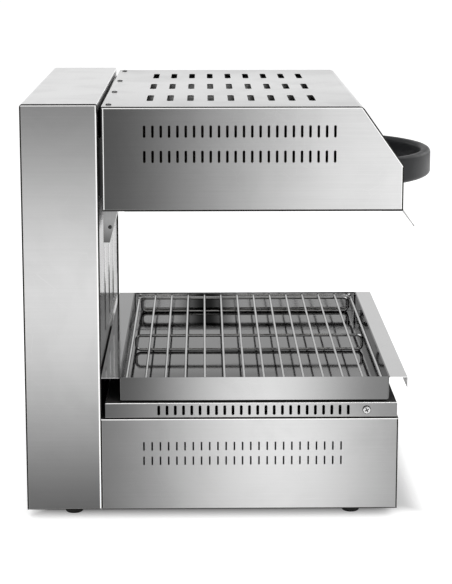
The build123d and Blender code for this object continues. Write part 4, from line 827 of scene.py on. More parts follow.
# ---- Shapes -------------------------------------------------------------------------------------


def facing(direction: Sequence[float], origin: Sequence[float]) -> Matrix:
    """Place at an origin in metres whose local Z looks along a direction."""
    return Matrix.Translation(Vector(origin)) @ Vector(direction).to_track_quat("Z", "Y").to_matrix().to_4x4()


def middle(node: str) -> Vector:
    """Middle of a CAD node's box at rest."""
    low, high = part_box(node)
    return (low + high) / 2


def fresh(made: dict, kind: type) -> list:
    """Picks the new points, edges or faces out of what a mesh operator made."""
    return [item for item in made["geom"] if isinstance(item, kind)]


def turned(profile: Sequence[tuple[float, float]], sides: int = 32) -> Mesh:
    """Turns a half profile round local Z, as on a lathe.

    Args:
        profile: Pairs of radius and height in millimetres, from one end of the outline to the other.
        sides: Steps of the full turn.

    Returns:
        The turned shape in metres.
    """
    shape = bmesh.new()
    verts = [shape.verts.new((radius * MM, 0.0, height * MM)) for radius, height in profile]
    edges = [shape.edges.new(pair) for pair in zip(verts, verts[1:])]
    bmesh.ops.spin(
        shape, geom=verts + edges, cent=ORIGIN, axis=(0, 0, 1), angle=math.tau, steps=sides,
        use_merge=True, use_duplicate=False,
    )
    bmesh.ops.remove_doubles(shape, verts=shape.verts, dist=1e-6)
    bmesh.ops.recalc_face_normals(shape, faces=shape.faces)
    return shape


def round_edges(shape: Mesh, edges: Sequence[bmesh.types.BMEdge], radius: float, segments: int) -> None:
    """Rounds edges of a shape.

    Args:
        shape: The shape.
        edges: Which of its edges.
        radius: Their radius in millimetres.
        segments: How many faces go across each.
    """
    bmesh.ops.bevel(
        shape, geom=edges, offset=radius * MM, offset_type="OFFSET", segments=segments, profile=0.5,
        affect="EDGES", clamp_overlap=True, material=-1,
    )


def block(size: Sequence[float], edge: float) -> Mesh:
    """Shapes a block centred on the origin.

    Args:
        size: Its size on each axis in millimetres.
        edge: The chamfer of its edges in millimetres.

    Returns:
        The block in metres.
    """
    shape = bmesh.new()
    bmesh.ops.create_cube(shape, size=MM)
    bmesh.ops.scale(shape, vec=Vector(size), verts=shape.verts)
    round_edges(shape, shape.edges[:], edge, 1)
    return shape


def stamp(target: Mesh, shape: Mesh, places: Sequence[Matrix]) -> None:
    """Copies a shape into a target.

    Args:
        target: What the copies go into.
        shape: The shape, which this call frees.
        places: Place of each copy.
    """
    carrier = bpy.data.meshes.new("carrier")
    for place in places:
        copy = shape.copy()
        bmesh.ops.transform(copy, matrix=place, verts=copy.verts)
        copy.to_mesh(carrier)
        target.from_mesh(carrier)
        copy.free()
    shape.free()
    bpy.data.meshes.remove(carrier)


class RodBender:
    """Forms a round rod from straight runs and bends, as a wire former does."""

    def __init__(self, shape: Mesh, radius: float, sides: int, at: Vector, heading: Vector) -> None:
        """Starts the rod with a ring of points round its centreline.

        Args:
            shape: The mesh that the rod goes into.
            radius: The rod's radius in metres.
            sides: Points of the ring.
            at: Where the centreline starts.
            heading: Which way it starts.
        """
        self.shape = shape
        self.at = Vector(at)
        self.heading = Vector(heading).normalized()
        made = bmesh.ops.create_circle(
            shape, cap_ends=False, segments=sides, radius=radius, matrix=facing(self.heading, self.at)
        )
        self.ring = list({edge for vert in made["verts"] for edge in vert.link_edges})
        self.first = self.ring[:]

    def run(self, length: float) -> "RodBender":
        """Feeds the rod straight on.

        Args:
            length: How far, in metres.

        Returns:
            The bender itself.
        """
        made = bmesh.ops.extrude_edge_only(self.shape, edges=self.ring)
        verts = fresh(made, bmesh.types.BMVert)
        bmesh.ops.translate(self.shape, verts=verts, vec=self.heading * length)
        self.ring = [edge for edge in fresh(made, bmesh.types.BMEdge) if set(edge.verts) <= set(verts)]
        self.at = self.at + self.heading * length
        return self

    def bend(
        self, towards: Sequence[float], radius: float, steps: int = 6, angle: float = math.pi / 2
    ) -> "RodBender":
        """Bends the rod towards a side.

        Args:
            towards: Unit vector from the centreline to the bend's centre.
            radius: Radius of the centreline in metres.
            steps: Rings along the bend.
            angle: How far the rod turns, in radians.

        Returns:
            The bender itself.
        """
        side = Vector(towards)
        centre = self.at + side * radius
        axis = self.heading.cross(side)
        verts = list({vert for edge in self.ring for vert in edge.verts})
        made = bmesh.ops.spin(
            self.shape, geom=verts + self.ring, cent=centre, axis=axis, dvec=ORIGIN, angle=angle, steps=steps,
            use_merge=False, use_duplicate=False,
        )
        self.ring = [item for item in made["geom_last"] if isinstance(item, bmesh.types.BMEdge)]
        turn = Matrix.Rotation(angle, 3, axis)
        self.at = centre + turn @ (self.at - centre)
        self.heading = turn @ self.heading
        return self

    def cap(self) -> None:
        """Closes both ends of the rod."""
        for ring in (self.first, self.ring):
            bmesh.ops.edgeloop_fill(self.shape, edges=ring)


def set_down(
    shape: Mesh, name: str, body: str, finishes: Sequence[Finish], nodes: Sequence[str] = (),
    crease: float = 32.0, weld: bool = True,
) -> None:
    """Makes a finished piece of a shape, rides it on its body and hides the CAD nodes that it replaces.

    Args:
        shape: The mesh in the model's frame, which this call frees.
        name: The piece's name.
        body: The CAD body that it moves with.
        finishes: Its finishes in slot order.
        nodes: CAD nodes that it replaces.
        crease: Edges sharper than this many degrees stay sharp.
        weld: Whether double points are merged and normals worked out again.
    """
    if weld:
        bmesh.ops.remove_doubles(shape, verts=shape.verts, dist=2e-6)
        bmesh.ops.recalc_face_normals(shape, faces=shape.faces)
    limit = math.radians(crease)
    for face in shape.faces:
        face.smooth = True
    for edge in shape.edges:
        edge.smooth = edge.calc_face_angle(0.0) < limit
    mesh = bpy.data.meshes.new(name)
    shape.to_mesh(mesh)
    shape.free()
    piece = bpy.data.objects.new(name, mesh)
    bpy.context.scene.collection.objects.link(piece)
    for finish in finishes:
        mesh.materials.append(finish.make())
    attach(piece, body)
    if nodes:
        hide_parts(*nodes)
    LOG.info("%s rides on %s, %d faces", name, body, len(mesh.polygons))


# ---- Casings ------------------------------------------------------------------------------------


class Casings:
    """Folded sheet panels and inner parts, which keep their CAD shape and take a finish each."""

    NODES = {
        Steels.COLUMN_SIDE: ("column_side_left", "column_side_right"),
        Steels.BASE_SIDE: ("base_side_left", "base_side_right"),
        Steels.HOOD_SIDE: ("hood_side_left", "hood_side_right"),
        Steels.COLUMN_WRAP: ("column_wrap",),
        Steels.HOOD_WRAP: ("hood_wrap",),
        Steels.DECK: ("base_deck",),
        Steels.FRONT_PANEL: ("base_front_panel",),
        Steels.COLUMN_FRONT: ("column_front_panel",),
        Steels.TRAY: ("drip_tray",),
        Steels.DARK: ("hood_rear_panel", "lift_arm_left", "lift_arm_right"),
        Steels.SKIRT: ("rear_skirt",),
        Steels.FLAP: ("heat_flap",),
        Steels.REFLECTOR: ("reflector",),
        Steels.HIDDEN: ("heat_shield", "base_floor"),
        Steels.ZINC: (
            "rod_top_bracket", "rod_foot_blocks", "pulley_ears", "counterweight_guides", "carriage_plate",
            "element_clips", "foot_screws", "thermostat_spindle", "timer_spindle",
        ),
        Steels.SCREW: ("pulley_pins", "handle_screws"),
        Steels.ROD: ("guide_rods",),
        Steels.ROPE: ("lift_cables",),
        Mouldings.SEAL: ("deck_seal",),
        Mouldings.RUNNER: ("tray_runners",),
        Mouldings.SHOE: ("carriage_shoes", "pulley_left", "pulley_right"),
        Mouldings.IRON: ("counterweight",),
        Mouldings.WOOL: ("insulation",),
        Mouldings.CONTROL: ("thermostat", "timer"),
        Mouldings.TERMINAL: ("terminal_block",),
        Mouldings.SWITCH: ("power_switch",),
        Mouldings.GLAND: ("cable_gland",),
    }

    def build(self) -> None:
        """Gives each panel and inner part its own finish."""
        for finish, names in self.NODES.items():
            for name in names:
                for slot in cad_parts[name].material_slots:
                    slot.material = finish.make()
            LOG.info("%s: %s", finish.name, ", ".join(names))


# ---- Tray and rack ------------------------------------------------------------------------------


@dataclass
class WireRack:
    """Rack of bent and welded bright wire that stands in the tray."""

    rod: float = 4.0 * MM
    wire: float = 3.0 * MM
    ring_corner: float = 7.0 * MM
    loop_corner: float = 6.3 * MM
    rod_sides: int = 14
    wire_count: int = 12
    wire_pitch: float = 24.0 * MM
    nugget: float = 1.0 * MM
    nugget_spread: Triple = (1.9, 1.5, 0.7)

    def ring(self) -> Mesh:
        """Bends the flat ring.

        Returns:
            The ring in metres.
        """
        low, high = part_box("rack_ring")
        mid = (low + high) / 2
        x, y = high.x - self.rod / 2, (high.y - low.y) / 2 - self.rod / 2
        r = self.ring_corner
        shape = bmesh.new()
        bender = RodBender(
            shape, self.rod / 2, self.rod_sides, Vector((-x + r, mid.y - y, mid.z)), Vector((1, 0, 0))
        )
        for half, side in ((x, (0, 1, 0)), (y, (-1, 0, 0)), (x, (0, -1, 0)), (y, (1, 0, 0))):
            bender.run(2 * (half - r)).bend(side, r)
        return shape

    def loops(self) -> Mesh:
        """Bends the three upright loops.

        Returns:
            The loops in metres.
        """
        low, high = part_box("rack_loops")
        top, bottom = middle("rack_ring").z, low.z + self.rod / 2
        x, r = high.x - self.rod / 2, self.loop_corner
        width, rise = high.y - low.y - self.rod - 2 * r, top - bottom - 2 * r
        shape = bmesh.new()
        for place in (-x, 0.0, x):
            start = Vector((place, low.y + self.rod / 2 + r, bottom))
            bender = RodBender(shape, self.rod / 2, self.rod_sides, start, Vector((0, 1, 0)))
            bender.run(width).bend((0, 0, 1), r).run(rise).bend((0, -1, 0), r)
            bender.run(width).bend((0, 0, -1), r).run(rise).bend((0, 1, 0), r)
        return shape

    def wires(self) -> Mesh:
        """Lays the thin cross wires with a weld nugget at each crossing.

        Returns:
            The wires in metres.
        """
        mid, half = middle("rack_wires"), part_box("rack_wires")[1].x
        rows = [mid.y + (i - (self.wire_count - 1) / 2) * self.wire_pitch for i in range(self.wire_count)]
        tip, length = 0.6, 2 * half / MM
        full, face = self.wire / 2 / MM, self.wire / 2 / MM - tip
        profile = [(0, 0), (face, 0), (full, tip), (full, length - tip), (face, length), (0, length)]
        shape = bmesh.new()
        stamp(shape, turned(profile, 12), [facing((1, 0, 0), (-half, y, mid.z)) for y in rows])
        x_loop, x_ring = (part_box(node)[1].x - self.rod / 2 for node in ("rack_loops", "rack_ring"))
        nugget = bmesh.new()
        bmesh.ops.create_icosphere(nugget, subdivisions=2, radius=self.nugget)
        bmesh.ops.scale(nugget, vec=self.nugget_spread, verts=nugget.verts)
        seat = mid.z - self.wire / 2
        spots = [(x, y, seat) for y in rows for x in (-x_ring, -x_loop, 0.0, x_loop, x_ring)]
        stamp(shape, nugget, [Matrix.Translation(spot) for spot in spots])
        return shape

    def build(self) -> None:
        """Makes the rack's three pieces in place of their plain nodes."""
        finish = [Steels.WIRE]
        set_down(self.ring(), "rack_ring_bent", "rack", finish, ["rack_ring"])
        set_down(self.loops(), "rack_loops_bent", "rack", finish, ["rack_loops"])
        set_down(self.wires(), "rack_wires_welded", "rack", finish, ["rack_wires"], weld=False)


# ---- Hood fittings ------------------------------------------------------------------------------


@dataclass
class BowHandle:
    """Black moulded bow across the hood's front."""

    thickness: float = 13.0 * MM
    edge: float = 5.0 * MM
    spare_swing: float = 0.16
    steps: int = 56

    def section(self, height: float) -> Mesh:
        """Draws the rounded section, upright on the X axis.

        Args:
            height: Its height in metres.

        Returns:
            Its outline.
        """
        shape = bmesh.new()
        bmesh.ops.create_grid(shape, x_segments=1, y_segments=1, size=0.5)
        bmesh.ops.scale(shape, vec=(self.thickness, height, 1), verts=shape.verts)
        bmesh.ops.bevel(
            shape, geom=shape.verts[:], offset=self.edge, offset_type="OFFSET", segments=5, profile=0.5,
            affect="VERTICES", material=-1,
        )
        bmesh.ops.transform(shape, matrix=Matrix.Rotation(math.pi / 2, 4, "X"), verts=shape.verts)
        bmesh.ops.delete(shape, geom=shape.faces[:], context="FACES_ONLY")
        return shape

    def build(self) -> None:
        """Spins the section round the bow's centre and trims its ends on the hood's front."""
        low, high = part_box("hood_handle")
        half_span, bow = high.x, high.y - low.y
        radius = (half_span ** 2 + bow ** 2) / (2 * bow)
        centre = Vector((0.0, low.y + radius, (low.z + high.z) / 2))
        swing = math.asin(min(1.0, half_span / radius)) + self.spare_swing
        shape = self.section(high.z - low.z)
        bmesh.ops.translate(shape, vec=(radius - self.thickness / 2, 0, 0), verts=shape.verts)
        start = Matrix.Rotation(-math.pi / 2 - swing, 3, "Z")
        bmesh.ops.rotate(shape, cent=ORIGIN, matrix=start, verts=shape.verts)
        bmesh.ops.translate(shape, vec=centre, verts=shape.verts)
        bmesh.ops.spin(
            shape, geom=shape.verts[:] + shape.edges[:], cent=centre, axis=(0, 0, 1), angle=2 * swing,
            steps=self.steps, use_merge=False, use_duplicate=False,
        )
        trimmed = bmesh.ops.bisect_plane(
            shape, geom=shape.verts[:] + shape.edges[:] + shape.faces[:], plane_co=(0, high.y, 0),
            plane_no=(0, 1, 0), clear_outer=True,
        )
        cut = [item for item in trimmed["geom_cut"] if isinstance(item, bmesh.types.BMEdge)]
        bmesh.ops.edgeloop_fill(shape, edges=cut)
        set_down(
            shape, "bow_handle", "hood", [Mouldings.HANDLE], ["hood_handle"], crease=40.0
        )


@dataclass
class PanHead:
    """Pan head with a cross recess and a rim, both in painted shade, on local Z.

    Its width and rise are in millimetres. The cross and the rim are shares of the radius, and the
    recess's depth and the side's height are shares of the rise.
    """

    width: float
    rise: float
    arm_reach: float = 0.55
    arm_width: float = 0.14
    depth: float = 0.55
    rim: float = 0.86
    side: float = 0.45
    steps: int = 14

    def dish(self, point: Vector) -> Vector:
        """Moves a point of a flat square of half size 1 onto the domed round head.

        Args:
            point: The point.

        Returns:
            Its place on the head in metres.
        """
        x, y = point.x * math.sqrt(1 - point.y ** 2 / 2), point.y * math.sqrt(1 - point.x ** 2 / 2)
        share = min(1.0, math.hypot(x, y))
        dome = math.sqrt(max(0.0, 1 - share ** 2.6))
        height = self.rise * (self.side + (1 - self.side) * dome)
        return Vector((x * self.width / 2, y * self.width / 2, height)) * MM

    def shape(self) -> Mesh:
        """Shapes the head with its sunk cross and its side.

        Returns:
            The head in metres.
        """
        shape = bmesh.new()
        bmesh.ops.create_grid(shape, x_segments=self.steps, y_segments=self.steps, size=1.0)
        cross = []
        for face in shape.faces:
            x, y, _ = face.calc_center_median()
            if min(abs(x), abs(y)) < self.arm_width and math.hypot(x, y) < self.arm_reach:
                cross.append(face)
        for vert in shape.verts:
            vert.co = self.dish(vert.co)
        sunk = fresh(bmesh.ops.extrude_face_region(shape, geom=cross), bmesh.types.BMVert)
        floor, rim = set(sunk), self.rim * self.width / 2 * MM
        # The recess, the outer ring and the side take the second slot, which holds painted shade.
        for face in shape.faces:
            if floor & set(face.verts) or face.calc_center_median().xy.length > rim:
                face.material_index = 1
        bmesh.ops.delete(shape, geom=cross, context="FACES")
        bmesh.ops.translate(shape, verts=sunk, vec=(0, 0, -self.rise * self.depth * MM))
        edge = bmesh.ops.extrude_edge_only(shape, edges=[edge for edge in shape.edges if edge.is_boundary])
        for vert in fresh(edge, bmesh.types.BMVert):
            vert.co.z = 0.0
            for face in vert.link_faces:
                face.material_index = 1
        bmesh.ops.recalc_face_normals(shape, faces=shape.faces)
        return shape


@dataclass
class PanScrews:
    """The deck's, the hood's and the rear skirt's screws, turned as a fitter leaves them."""

    deck_rise: float = 2.6
    deck_turn: float = 24.0
    hood_head: tuple[float, float] = (7.0, 1.8)
    hood_turns: tuple[float, ...] = (12.0, 61.0, 35.0, 80.0)
    skirt_head: tuple[float, float] = (4.5, 1.2)
    skirt_setback: float = 8.0 * MM
    skirt_drop: float = 22.0 * MM

    def set_heads(
        self, name: str, body: str, head: PanHead, places: Sequence[Matrix], finishes: Sequence[Finish],
        nodes: Sequence[str] = (),
    ) -> None:
        """Stamps a head at each place and makes one piece of them.

        Args:
            name: The piece's name.
            body: The CAD body that it moves with.
            head: The head.
            places: Place of each copy.
            finishes: The bright finish and the painted shade of the recess and rim.
            nodes: CAD nodes that it replaces.
        """
        shape = bmesh.new()
        stamp(shape, head.shape(), places)
        set_down(shape, name, body, finishes, nodes, crease=50.0)

    def build(self) -> None:
        """Sets all the heads."""
        # Bright heads take painted shade in their recess and rim; the skirt's heads are near-black all over.
        bright, dark = [Steels.SCREW, Steels.RECESS_SHADE], [Steels.RECESS_SHADE, Steels.RECESS_SHADE]
        low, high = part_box("deck_screws")
        mid, face = (low + high) / 2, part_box("base_deck")[1].x
        spin = Matrix.Rotation(math.radians(self.deck_turn), 4, "Z")
        places = [facing((sign, 0, 0), (sign * face, mid.y, mid.z)) @ spin for sign in (-1, 1)]
        head = PanHead((high.z - low.z) / MM, self.deck_rise)
        self.set_heads("deck_screw_heads", "chassis", head, places, bright, ["deck_screws"])

        low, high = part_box("hood_screws")
        head, top = PanHead(*self.hood_head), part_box("hood_wrap")[1].z
        first, span = low.x + head.width / 2 * MM, high.x - low.x - head.width * MM
        places = [
            Matrix.Translation((first + span * i / (len(self.hood_turns) - 1), (low.y + high.y) / 2, top))
            @ Matrix.Rotation(math.radians(turn), 4, "Z")
            for i, turn in enumerate(self.hood_turns)
        ]
        self.set_heads("hood_screw_heads", "hood", head, places, bright, ["hood_screws"])

        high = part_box("rear_skirt")[1]
        spot = Vector((high.x, high.y - self.skirt_setback, high.z - self.skirt_drop))
        places = [facing((sign, 0, 0), (sign * spot.x, spot.y, spot.z)) for sign in (-1, 1)]
        self.set_heads("skirt_screw_heads", "hood", PanHead(*self.skirt_head), places, dark)


@dataclass
class TubeElements:
    """Two hairpin tube elements whose ends turn up to their terminals."""

    tube: float = 8.0 * MM
    tail_bend: float = 12.0 * MM

    def build(self) -> None:
        """Bends each element along the route of its node."""
        finish = ElementFinish("element_sheath")
        r, bend = self.tube / 2, self.tail_bend
        for name in ("heating_element_rear", "heating_element_front"):
            low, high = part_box(name)
            near, far = high.y - r, low.y + r
            turn = (near - far) / 2
            tail = high.z - (low.z + r) - bend
            leg = high.x - low.x - 2 * r - bend - turn
            shape = bmesh.new()
            bender = RodBender(shape, r, 16, Vector((low.x + r, near, high.z)), Vector((0, 0, -1)))
            bender.run(tail).bend((1, 0, 0), bend, 8).run(leg).bend((0, -1, 0), turn, 24, math.pi)
            bender.run(leg).bend((0, 0, 1), bend, 8).run(tail).cap()
            set_down(shape, name.replace("heating_", "") + "_tube", "hood", [finish], [name])


# ---- Controls -----------------------------------------------------------------------------------


@dataclass
class DialKnob:
    """Control knob: a skirt, a waisted grip bar and a white pointer. Lengths are in millimetres."""

    name: str
    grip_foot: float = 4.0
    grip_waist: float = 4.0
    grip_round: float = 21.0
    grip_edge: float = 1.1
    grip_inset: float = 2.2
    flare: float = 0.55
    flare_reach: float = 18.0
    pointer: Triple = (1.2, 9.0, 0.3)
    pointer_inset: float = 8.0

    def grip(self, radius: float, depth: float) -> Mesh:
        """Shapes the grip bar, thin in its middle and thicker to its ends.

        Args:
            radius: The knob's radius.
            depth: How far the knob stands out.

        Returns:
            The bar in metres.
        """
        shape = bmesh.new()
        bmesh.ops.create_cube(shape, size=1.0)
        long_edges = [edge for edge in shape.edges if abs(edge.verts[0].co.x - edge.verts[1].co.x) > 0.5]
        bmesh.ops.subdivide_edges(shape, edges=long_edges, cuts=11)
        for vert in shape.verts:
            along = vert.co.x * 2 * (radius - self.grip_inset)
            sag = min(along, self.flare_reach) ** 2 * self.flare
            bow = self.grip_round - math.sqrt(self.grip_round ** 2 - sag)
            rise = (vert.co.z + 0.5) * (depth - self.grip_foot) + self.grip_foot
            vert.co = Vector((along, vert.co.y * 2 * (self.grip_waist + bow), rise)) * MM
        sharp = [edge for edge in shape.edges if edge.calc_face_angle(0.0) > math.radians(50)]
        round_edges(shape, sharp, self.grip_edge, 3)
        return shape

    def build(self) -> None:
        """Shapes the knob facing the front in place of its node."""
        low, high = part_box(self.name)
        radius, depth = (high.x - low.x) / 2 / MM, (high.y - low.y) / MM
        back = Vector(((low.x + high.x) / 2, high.y, (low.z + high.z) / 2))
        place = facing((0, -1, 0), back)
        shape = bmesh.new()
        skirt = [
            (3.0, 0.0), (radius - 0.6, 0.0), (radius, 0.6), (radius, 3.2), (radius - 0.8, 4.0),
            (radius - 2.0, 4.3), (radius - 3.4, 7.0), (radius - 5.5, 9.5), (0.0, 10.5),
        ]
        stamp(shape, turned(skirt, 48), [place])
        stamp(shape, self.grip(radius, depth), [place @ Matrix.Rotation(math.pi / 2, 4, "Z")])
        set_down(
            shape, self.name + "_moulded", self.name, [Mouldings.KNOB], [self.name], weld=False
        )
        line = bmesh.new()
        tip = back + Vector((0, -(depth + 0.1) * MM, (radius - self.pointer_inset) * MM))
        stamp(line, block(self.pointer, 0.1), [facing((0, -1, 0), tip)])
        set_down(line, self.name + "_pointer", self.name, [Mouldings.WHITE_MARK], weld=False)


@dataclass
class DialPrint:
    """Generic numbers and ticks printed round a knob. Lengths are in millimetres."""

    knob: str
    labels: tuple[str, ...]
    sweep: float
    tick_radius: float = 23.4
    long_tick: float = 2.6
    short_tick: float = 1.4
    tick_width: float = 0.5
    label_radius: float = 30.1
    size: float = 5.2
    ink: float = 0.06

    def at(self, angle: float, radius: float) -> Vector:
        """Finds a place on the panel's face.

        Args:
            angle: Its angle round the knob in radians.
            radius: Its distance from the knob's axis.

        Returns:
            The place in metres.
        """
        mid, face = middle(self.knob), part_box("base_front_panel")[0].y
        spoke = Vector((math.cos(angle), 0, math.sin(angle)))
        return Vector((mid.x, face - self.ink / 3 * MM, mid.z)) + spoke * radius * MM

    def figure(self, label: str) -> bpy.types.Mesh:
        """Sets one number as a thin flat mesh.

        Args:
            label: The number.

        Returns:
            The mesh, centred on the origin.
        """
        curve = bpy.data.curves.new("figure", "FONT")
        curve.body = label
        curve.size = self.size * MM
        curve.align_x = "CENTER"
        curve.align_y = "CENTER"
        curve.extrude = self.ink / 2 * MM
        holder = bpy.data.objects.new("figure", curve)
        figure = bpy.data.meshes.new_from_object(holder)
        bpy.data.objects.remove(holder)
        bpy.data.curves.remove(curve)
        return figure

    def build(self) -> None:
        """Prints the ticks and numbers on the front panel."""
        shape = bmesh.new()
        steps = (len(self.labels) - 1) * 2
        for index in range(steps + 1):
            angle = math.radians(90 - self.sweep * index / steps)
            length = self.short_tick if index % 2 else self.long_tick
            place = facing((0, -1, 0), self.at(angle, self.tick_radius + length / 2))
            tick = block((length, self.tick_width, self.ink), 0.01)
            stamp(shape, tick, [place @ Matrix.Rotation(angle, 4, "Z")])
            if index % 2 == 0:
                figure = self.figure(self.labels[index // 2])
                figure.transform(facing((0, -1, 0), self.at(angle, self.label_radius)))
                shape.from_mesh(figure)
                bpy.data.meshes.remove(figure)
        name = self.knob.replace("_knob", "_dial_print")
        set_down(shape, name, "chassis", [Mouldings.PRINT], weld=False)


class PilotLamps:
    """Stepped bezels and ribbed lenses over the two knobs, from profiles in millimetres."""

    BEZEL = [(3.5, 0.2), (3.6, 2.0), (4.6, 2.0), (5.3, 1.7), (5.9, 1.0), (6.2, 0.0), (4.4, 0.0), (4.4, -12.0)]
    DOME = [(3.45, 0.0), (3.45, 2.0), (3.2, 2.6), (2.8, 2.8), (2.5, 3.2), (1.8, 3.2), (1.5, 3.45), (0.0, 3.5)]
    LENSES = {
        "heat_lamp_lens": LensFinish("lens_amber", (0.95, 0.36, 0.03)),
        "power_lamp_lens": LensFinish("lens_green", (0.04, 0.55, 0.12)),
    }

    def build(self) -> None:
        """Turns both bezels and a lens for each lamp."""
        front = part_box("base_front_panel")[0].y
        places = {
            name: facing((0, -1, 0), (middle(name).x, front, middle(name).z)) for name in self.LENSES
        }
        bezels = bmesh.new()
        stamp(bezels, turned(self.BEZEL, 40), list(places.values()))
        set_down(bezels, "lamp_bezels_turned", "chassis", [Steels.SCREW], ["lamp_bezels"])
        for name, tint in self.LENSES.items():
            lens = bmesh.new()
            stamp(lens, turned(self.DOME), [places[name]])
            set_down(lens, name + "_ribbed", "chassis", [tint], [name], crease=25.0)


@dataclass
class RockerSwitch:
    """Rocker with its ON and OFF marks. Lengths are in millimetres."""

    edge: float = 0.6
    bar: Triple = (0.7, 5.0, 0.1)
    ring_radii: tuple[float, float] = (2.1, 2.7)
    ink: float = 0.05
    proud: float = 0.03

    def marks(self, rocker: Mesh) -> Mesh:
        """Lays a bar on the rocker's upper face and a ring on its lower one.

        Args:
            rocker: The rocker's shape.

        Returns:
            The marks in metres.
        """
        fronts = [face for face in rocker.faces if face.normal.y < -0.8]
        fronts.sort(key=lambda face: -face.calc_area())
        upper, lower = sorted(fronts[:2], key=lambda face: -face.calc_center_median().z)
        inner, outer = self.ring_radii
        ring = [(inner, 0.0), (outer, 0.0), (outer, self.ink), (inner, self.ink), (inner, 0.0)]
        marks = bmesh.new()
        for face, mark in ((upper, block(self.bar, 0.04)), (lower, turned(ring, 28))):
            spot = face.calc_center_median() + face.normal * self.proud * MM
            stamp(marks, mark, [facing(face.normal, spot)])
        return marks

    def build(self) -> None:
        """Rounds the edges of the rocker's own shape and marks it."""
        shape = bmesh.new()
        shape.from_mesh(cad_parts["rocker"].data)
        bmesh.ops.remove_doubles(shape, verts=shape.verts, dist=1e-5)
        bmesh.ops.dissolve_limit(
            shape, angle_limit=math.radians(2), verts=shape.verts, edges=shape.edges,
            use_dissolve_boundaries=False,
        )
        round_edges(shape, shape.edges[:], self.edge, 3)
        marks = self.marks(shape)
        set_down(shape, "rocker_moulded", "rocker", [Mouldings.SWITCH], ["rocker"])
        set_down(marks, "rocker_marks", "rocker", [Mouldings.WHITE_MARK], weld=False)


# ---- Feet ---------------------------------------------------------------------------------------


@dataclass
class RubberFeet:
    """Four turned rubber feet with a grooved side and a recess for the screw, in millimetres."""

    radius: float = 12.0
    profile: tuple[tuple[float, float], ...] = (
        (2.5, 12.5), (12.0, 12.5), (12.0, 11.2), (11.7, 10.9), (11.65, 9.6), (11.8, 9.3), (11.2, 3.2),
        (10.9, 1.2), (10.2, 0.3), (9.2, 0.0), (5.2, 0.0), (4.9, 0.3), (4.9, 7.0), (2.5, 7.0), (2.5, 12.5),
    )

    def build(self) -> None:
        """Turns the feet in place of their node."""
        low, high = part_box("rubber_feet")
        r = self.radius * MM
        feet = bmesh.new()
        places = [
            Matrix.Translation((sign * (high.x - r), y, 0.0))
            for sign in (-1, 1) for y in (high.y - r, low.y + r)
        ]
        stamp(feet, turned(self.profile, 40), places)
        set_down(feet, "rubber_feet_moulded", "chassis", [Mouldings.RUBBER], ["rubber_feet"])


# ---- Studio -------------------------------------------------------------------------------------


@dataclass(frozen=True)
class SoftLamp:
    """Square soft lamp that looks at the object: place and side in metres, power in watts."""

    name: str
    at: Triple
    size: float
    power: float

    def hang(self, aim: Vector) -> None:
        """Hangs the lamp.

        Args:
            aim: The point that it looks at.
        """
        light = bpy.data.lights.new(self.name, "AREA")
        light.size = self.size
        light.energy = self.power
        lamp = bpy.data.objects.new(self.name, light)
        lamp.matrix_world = facing(Vector(self.at) - aim, self.at)
        bpy.context.scene.collection.objects.link(lamp)


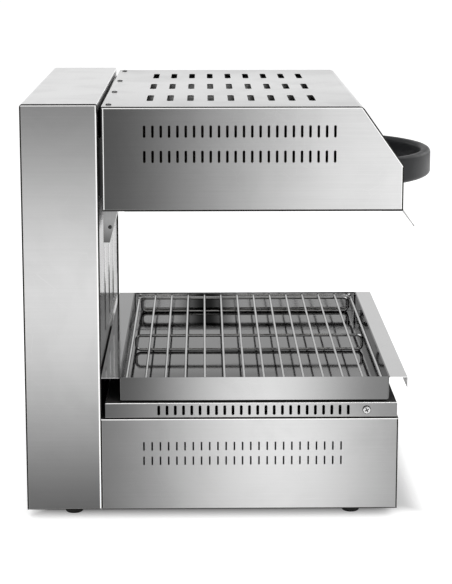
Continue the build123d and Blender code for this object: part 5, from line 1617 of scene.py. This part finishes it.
@dataclass
class StudioStage:
    """Pale floor, soft lamps, white surround and the camera at the photograph's angle."""

    camera_at: Triple = (-2.1079, 0.0338, 0.7323)
    camera_aim: Triple = (-0.0300, 0.0039, 0.3794)
    lens: float = 99.454
    shift: float = -0.18
    floor_glow: float = 0.55
    footprint: float = 0.88
    soft_level: float = 0.62
    dark_band: tuple[float, ...] = (0.26, 0.42, 0.6, 0.85)
    dark_depth: float = 0.72
    lamp_aim: Triple = (0.0, 0.0, 0.25)
    lamps: tuple[SoftLamp, ...] = (
        SoftLamp("key_lamp", (-1.9, -1.5, 2.1), 1.6, 26.0),
        SoftLamp("fill_lamp", (1.6, -1.9, 1.5), 1.6, 12.0),
        SoftLamp("top_lamp", (-0.2, 0.6, 2.4), 1.4, 10.0),
    )

    def lay_floor(self) -> None:
        """Lays the pale floor, which glows to the camera but for the shade under the machine."""
        shape = bmesh.new()
        bmesh.ops.create_grid(shape, x_segments=1, y_segments=1, size=30.0)
        mesh = bpy.data.meshes.new("studio_floor")
        shape.to_mesh(mesh)
        shape.free()
        floor = bpy.data.objects.new("studio_floor", mesh)
        bpy.context.scene.collection.objects.link(floor)
        material = bpy.data.materials.new("studio_floor")
        material.use_nodes = True
        bench = NodeBench(material.node_tree)
        shader = material.node_tree.nodes["Principled BSDF"].inputs
        path = bench.add("LightPath").outputs
        seen = bench.maths("MAXIMUM", path["Is Camera Ray"], path["Is Glossy Ray"])
        seen = bench.maths("MAXIMUM", seen, path["Is Transmission Ray"])
        low, high = (Vector(corner) for corner in CAD_BOX)
        half = (high - low) / 2 * self.footprint
        where = bench.add("TexCoord").outputs["Object"]
        under = bench.place(box_zone(), where, (low + high) / 2, (half.x, half.y, 1.0), grey(0.02))[0]
        seen = bench.maths("MULTIPLY", seen, bench.maths("SUBTRACT", 1.0, under))
        shader["Base Color"].default_value = (*grey(0.8), 1.0)
        shader["Roughness"].default_value = 0.9
        shader["Specular IOR Level"].default_value = 0.0
        shader["Emission Color"].default_value = (*ONES, 1.0)
        bench.feed(shader["Emission Strength"], bench.maths("MULTIPLY", seen, self.floor_glow))
        mesh.materials.append(material)

    def light_world(self) -> None:
        """Makes the surround white to the camera, graded in reflections and soft on the object."""
        world = bpy.data.worlds.new("studio")
        bpy.context.scene.world = world
        world.use_nodes = True
        bench = NodeBench(world.node_tree)
        background = world.node_tree.nodes["Background"]
        path = bench.add("LightPath").outputs
        up = bench.add("SeparateXYZ", {0: bench.add("TexCoord").outputs["Generated"]}).outputs[2]
        foot, full, ebb, end = self.dark_band
        rise, fall = bench.ramp(up, foot, full, 0.0, 1.0), bench.ramp(up, ebb, end, 1.0, 0.0)
        dark = bench.maths("MULTIPLY", rise, fall)
        graded = bench.maths("MULTIPLY_ADD", dark, -self.dark_depth, 1.0)
        level = bench.add("Mix", {0: path["Is Glossy Ray"], 2: self.soft_level, 3: graded}).outputs[0]
        seen = bench.maths("MAXIMUM", path["Is Camera Ray"], path["Is Transmission Ray"])
        strength = bench.add("Mix", {0: seen, 2: level, 3: 1.0}).outputs[0]
        background.inputs["Color"].default_value = (*ONES, 1.0)
        bench.feed(background.inputs["Strength"], strength)

    def set_camera(self) -> None:
        """Sets the camera where the photograph was taken from."""
        data = bpy.data.cameras.new("camera")
        data.lens = self.lens
        data.shift_y = self.shift
        data.clip_end = 100.0
        camera = bpy.data.objects.new("camera", data)
        camera.matrix_world = facing(Vector(self.camera_at) - Vector(self.camera_aim), self.camera_at)
        bpy.context.scene.collection.objects.link(camera)
        bpy.context.scene.camera = camera

    def build(self) -> None:
        """Sets up the studio."""
        self.set_camera()
        self.lay_floor()
        self.light_world()
        for lamp in self.lamps:
            lamp.hang(Vector(self.lamp_aim))
        bpy.context.scene.view_settings.view_transform = "Standard"


def main() -> None:
    """Builds the studio and every sub-assembly."""
    logging.basicConfig(level=logging.INFO, format="%(name)s: %(message)s")
    for assembly in (
        StudioStage(), Casings(), WireRack(), BowHandle(), PanScrews(), TubeElements(),
        DialKnob("thermostat_knob"), DialKnob("timer_knob"),
        DialPrint("thermostat_knob", ("0", "50", "100", "150", "200", "250", "300"), 270.0),
        DialPrint("timer_knob", ("0", "5", "10", "15", "20", "25", "30"), 300.0),
        PilotLamps(), RockerSwitch(), RubberFeet(),
    ):
        assembly.build()
        LOG.info("%s done", type(assembly).__name__)


if __name__ == "__main__":
    main()
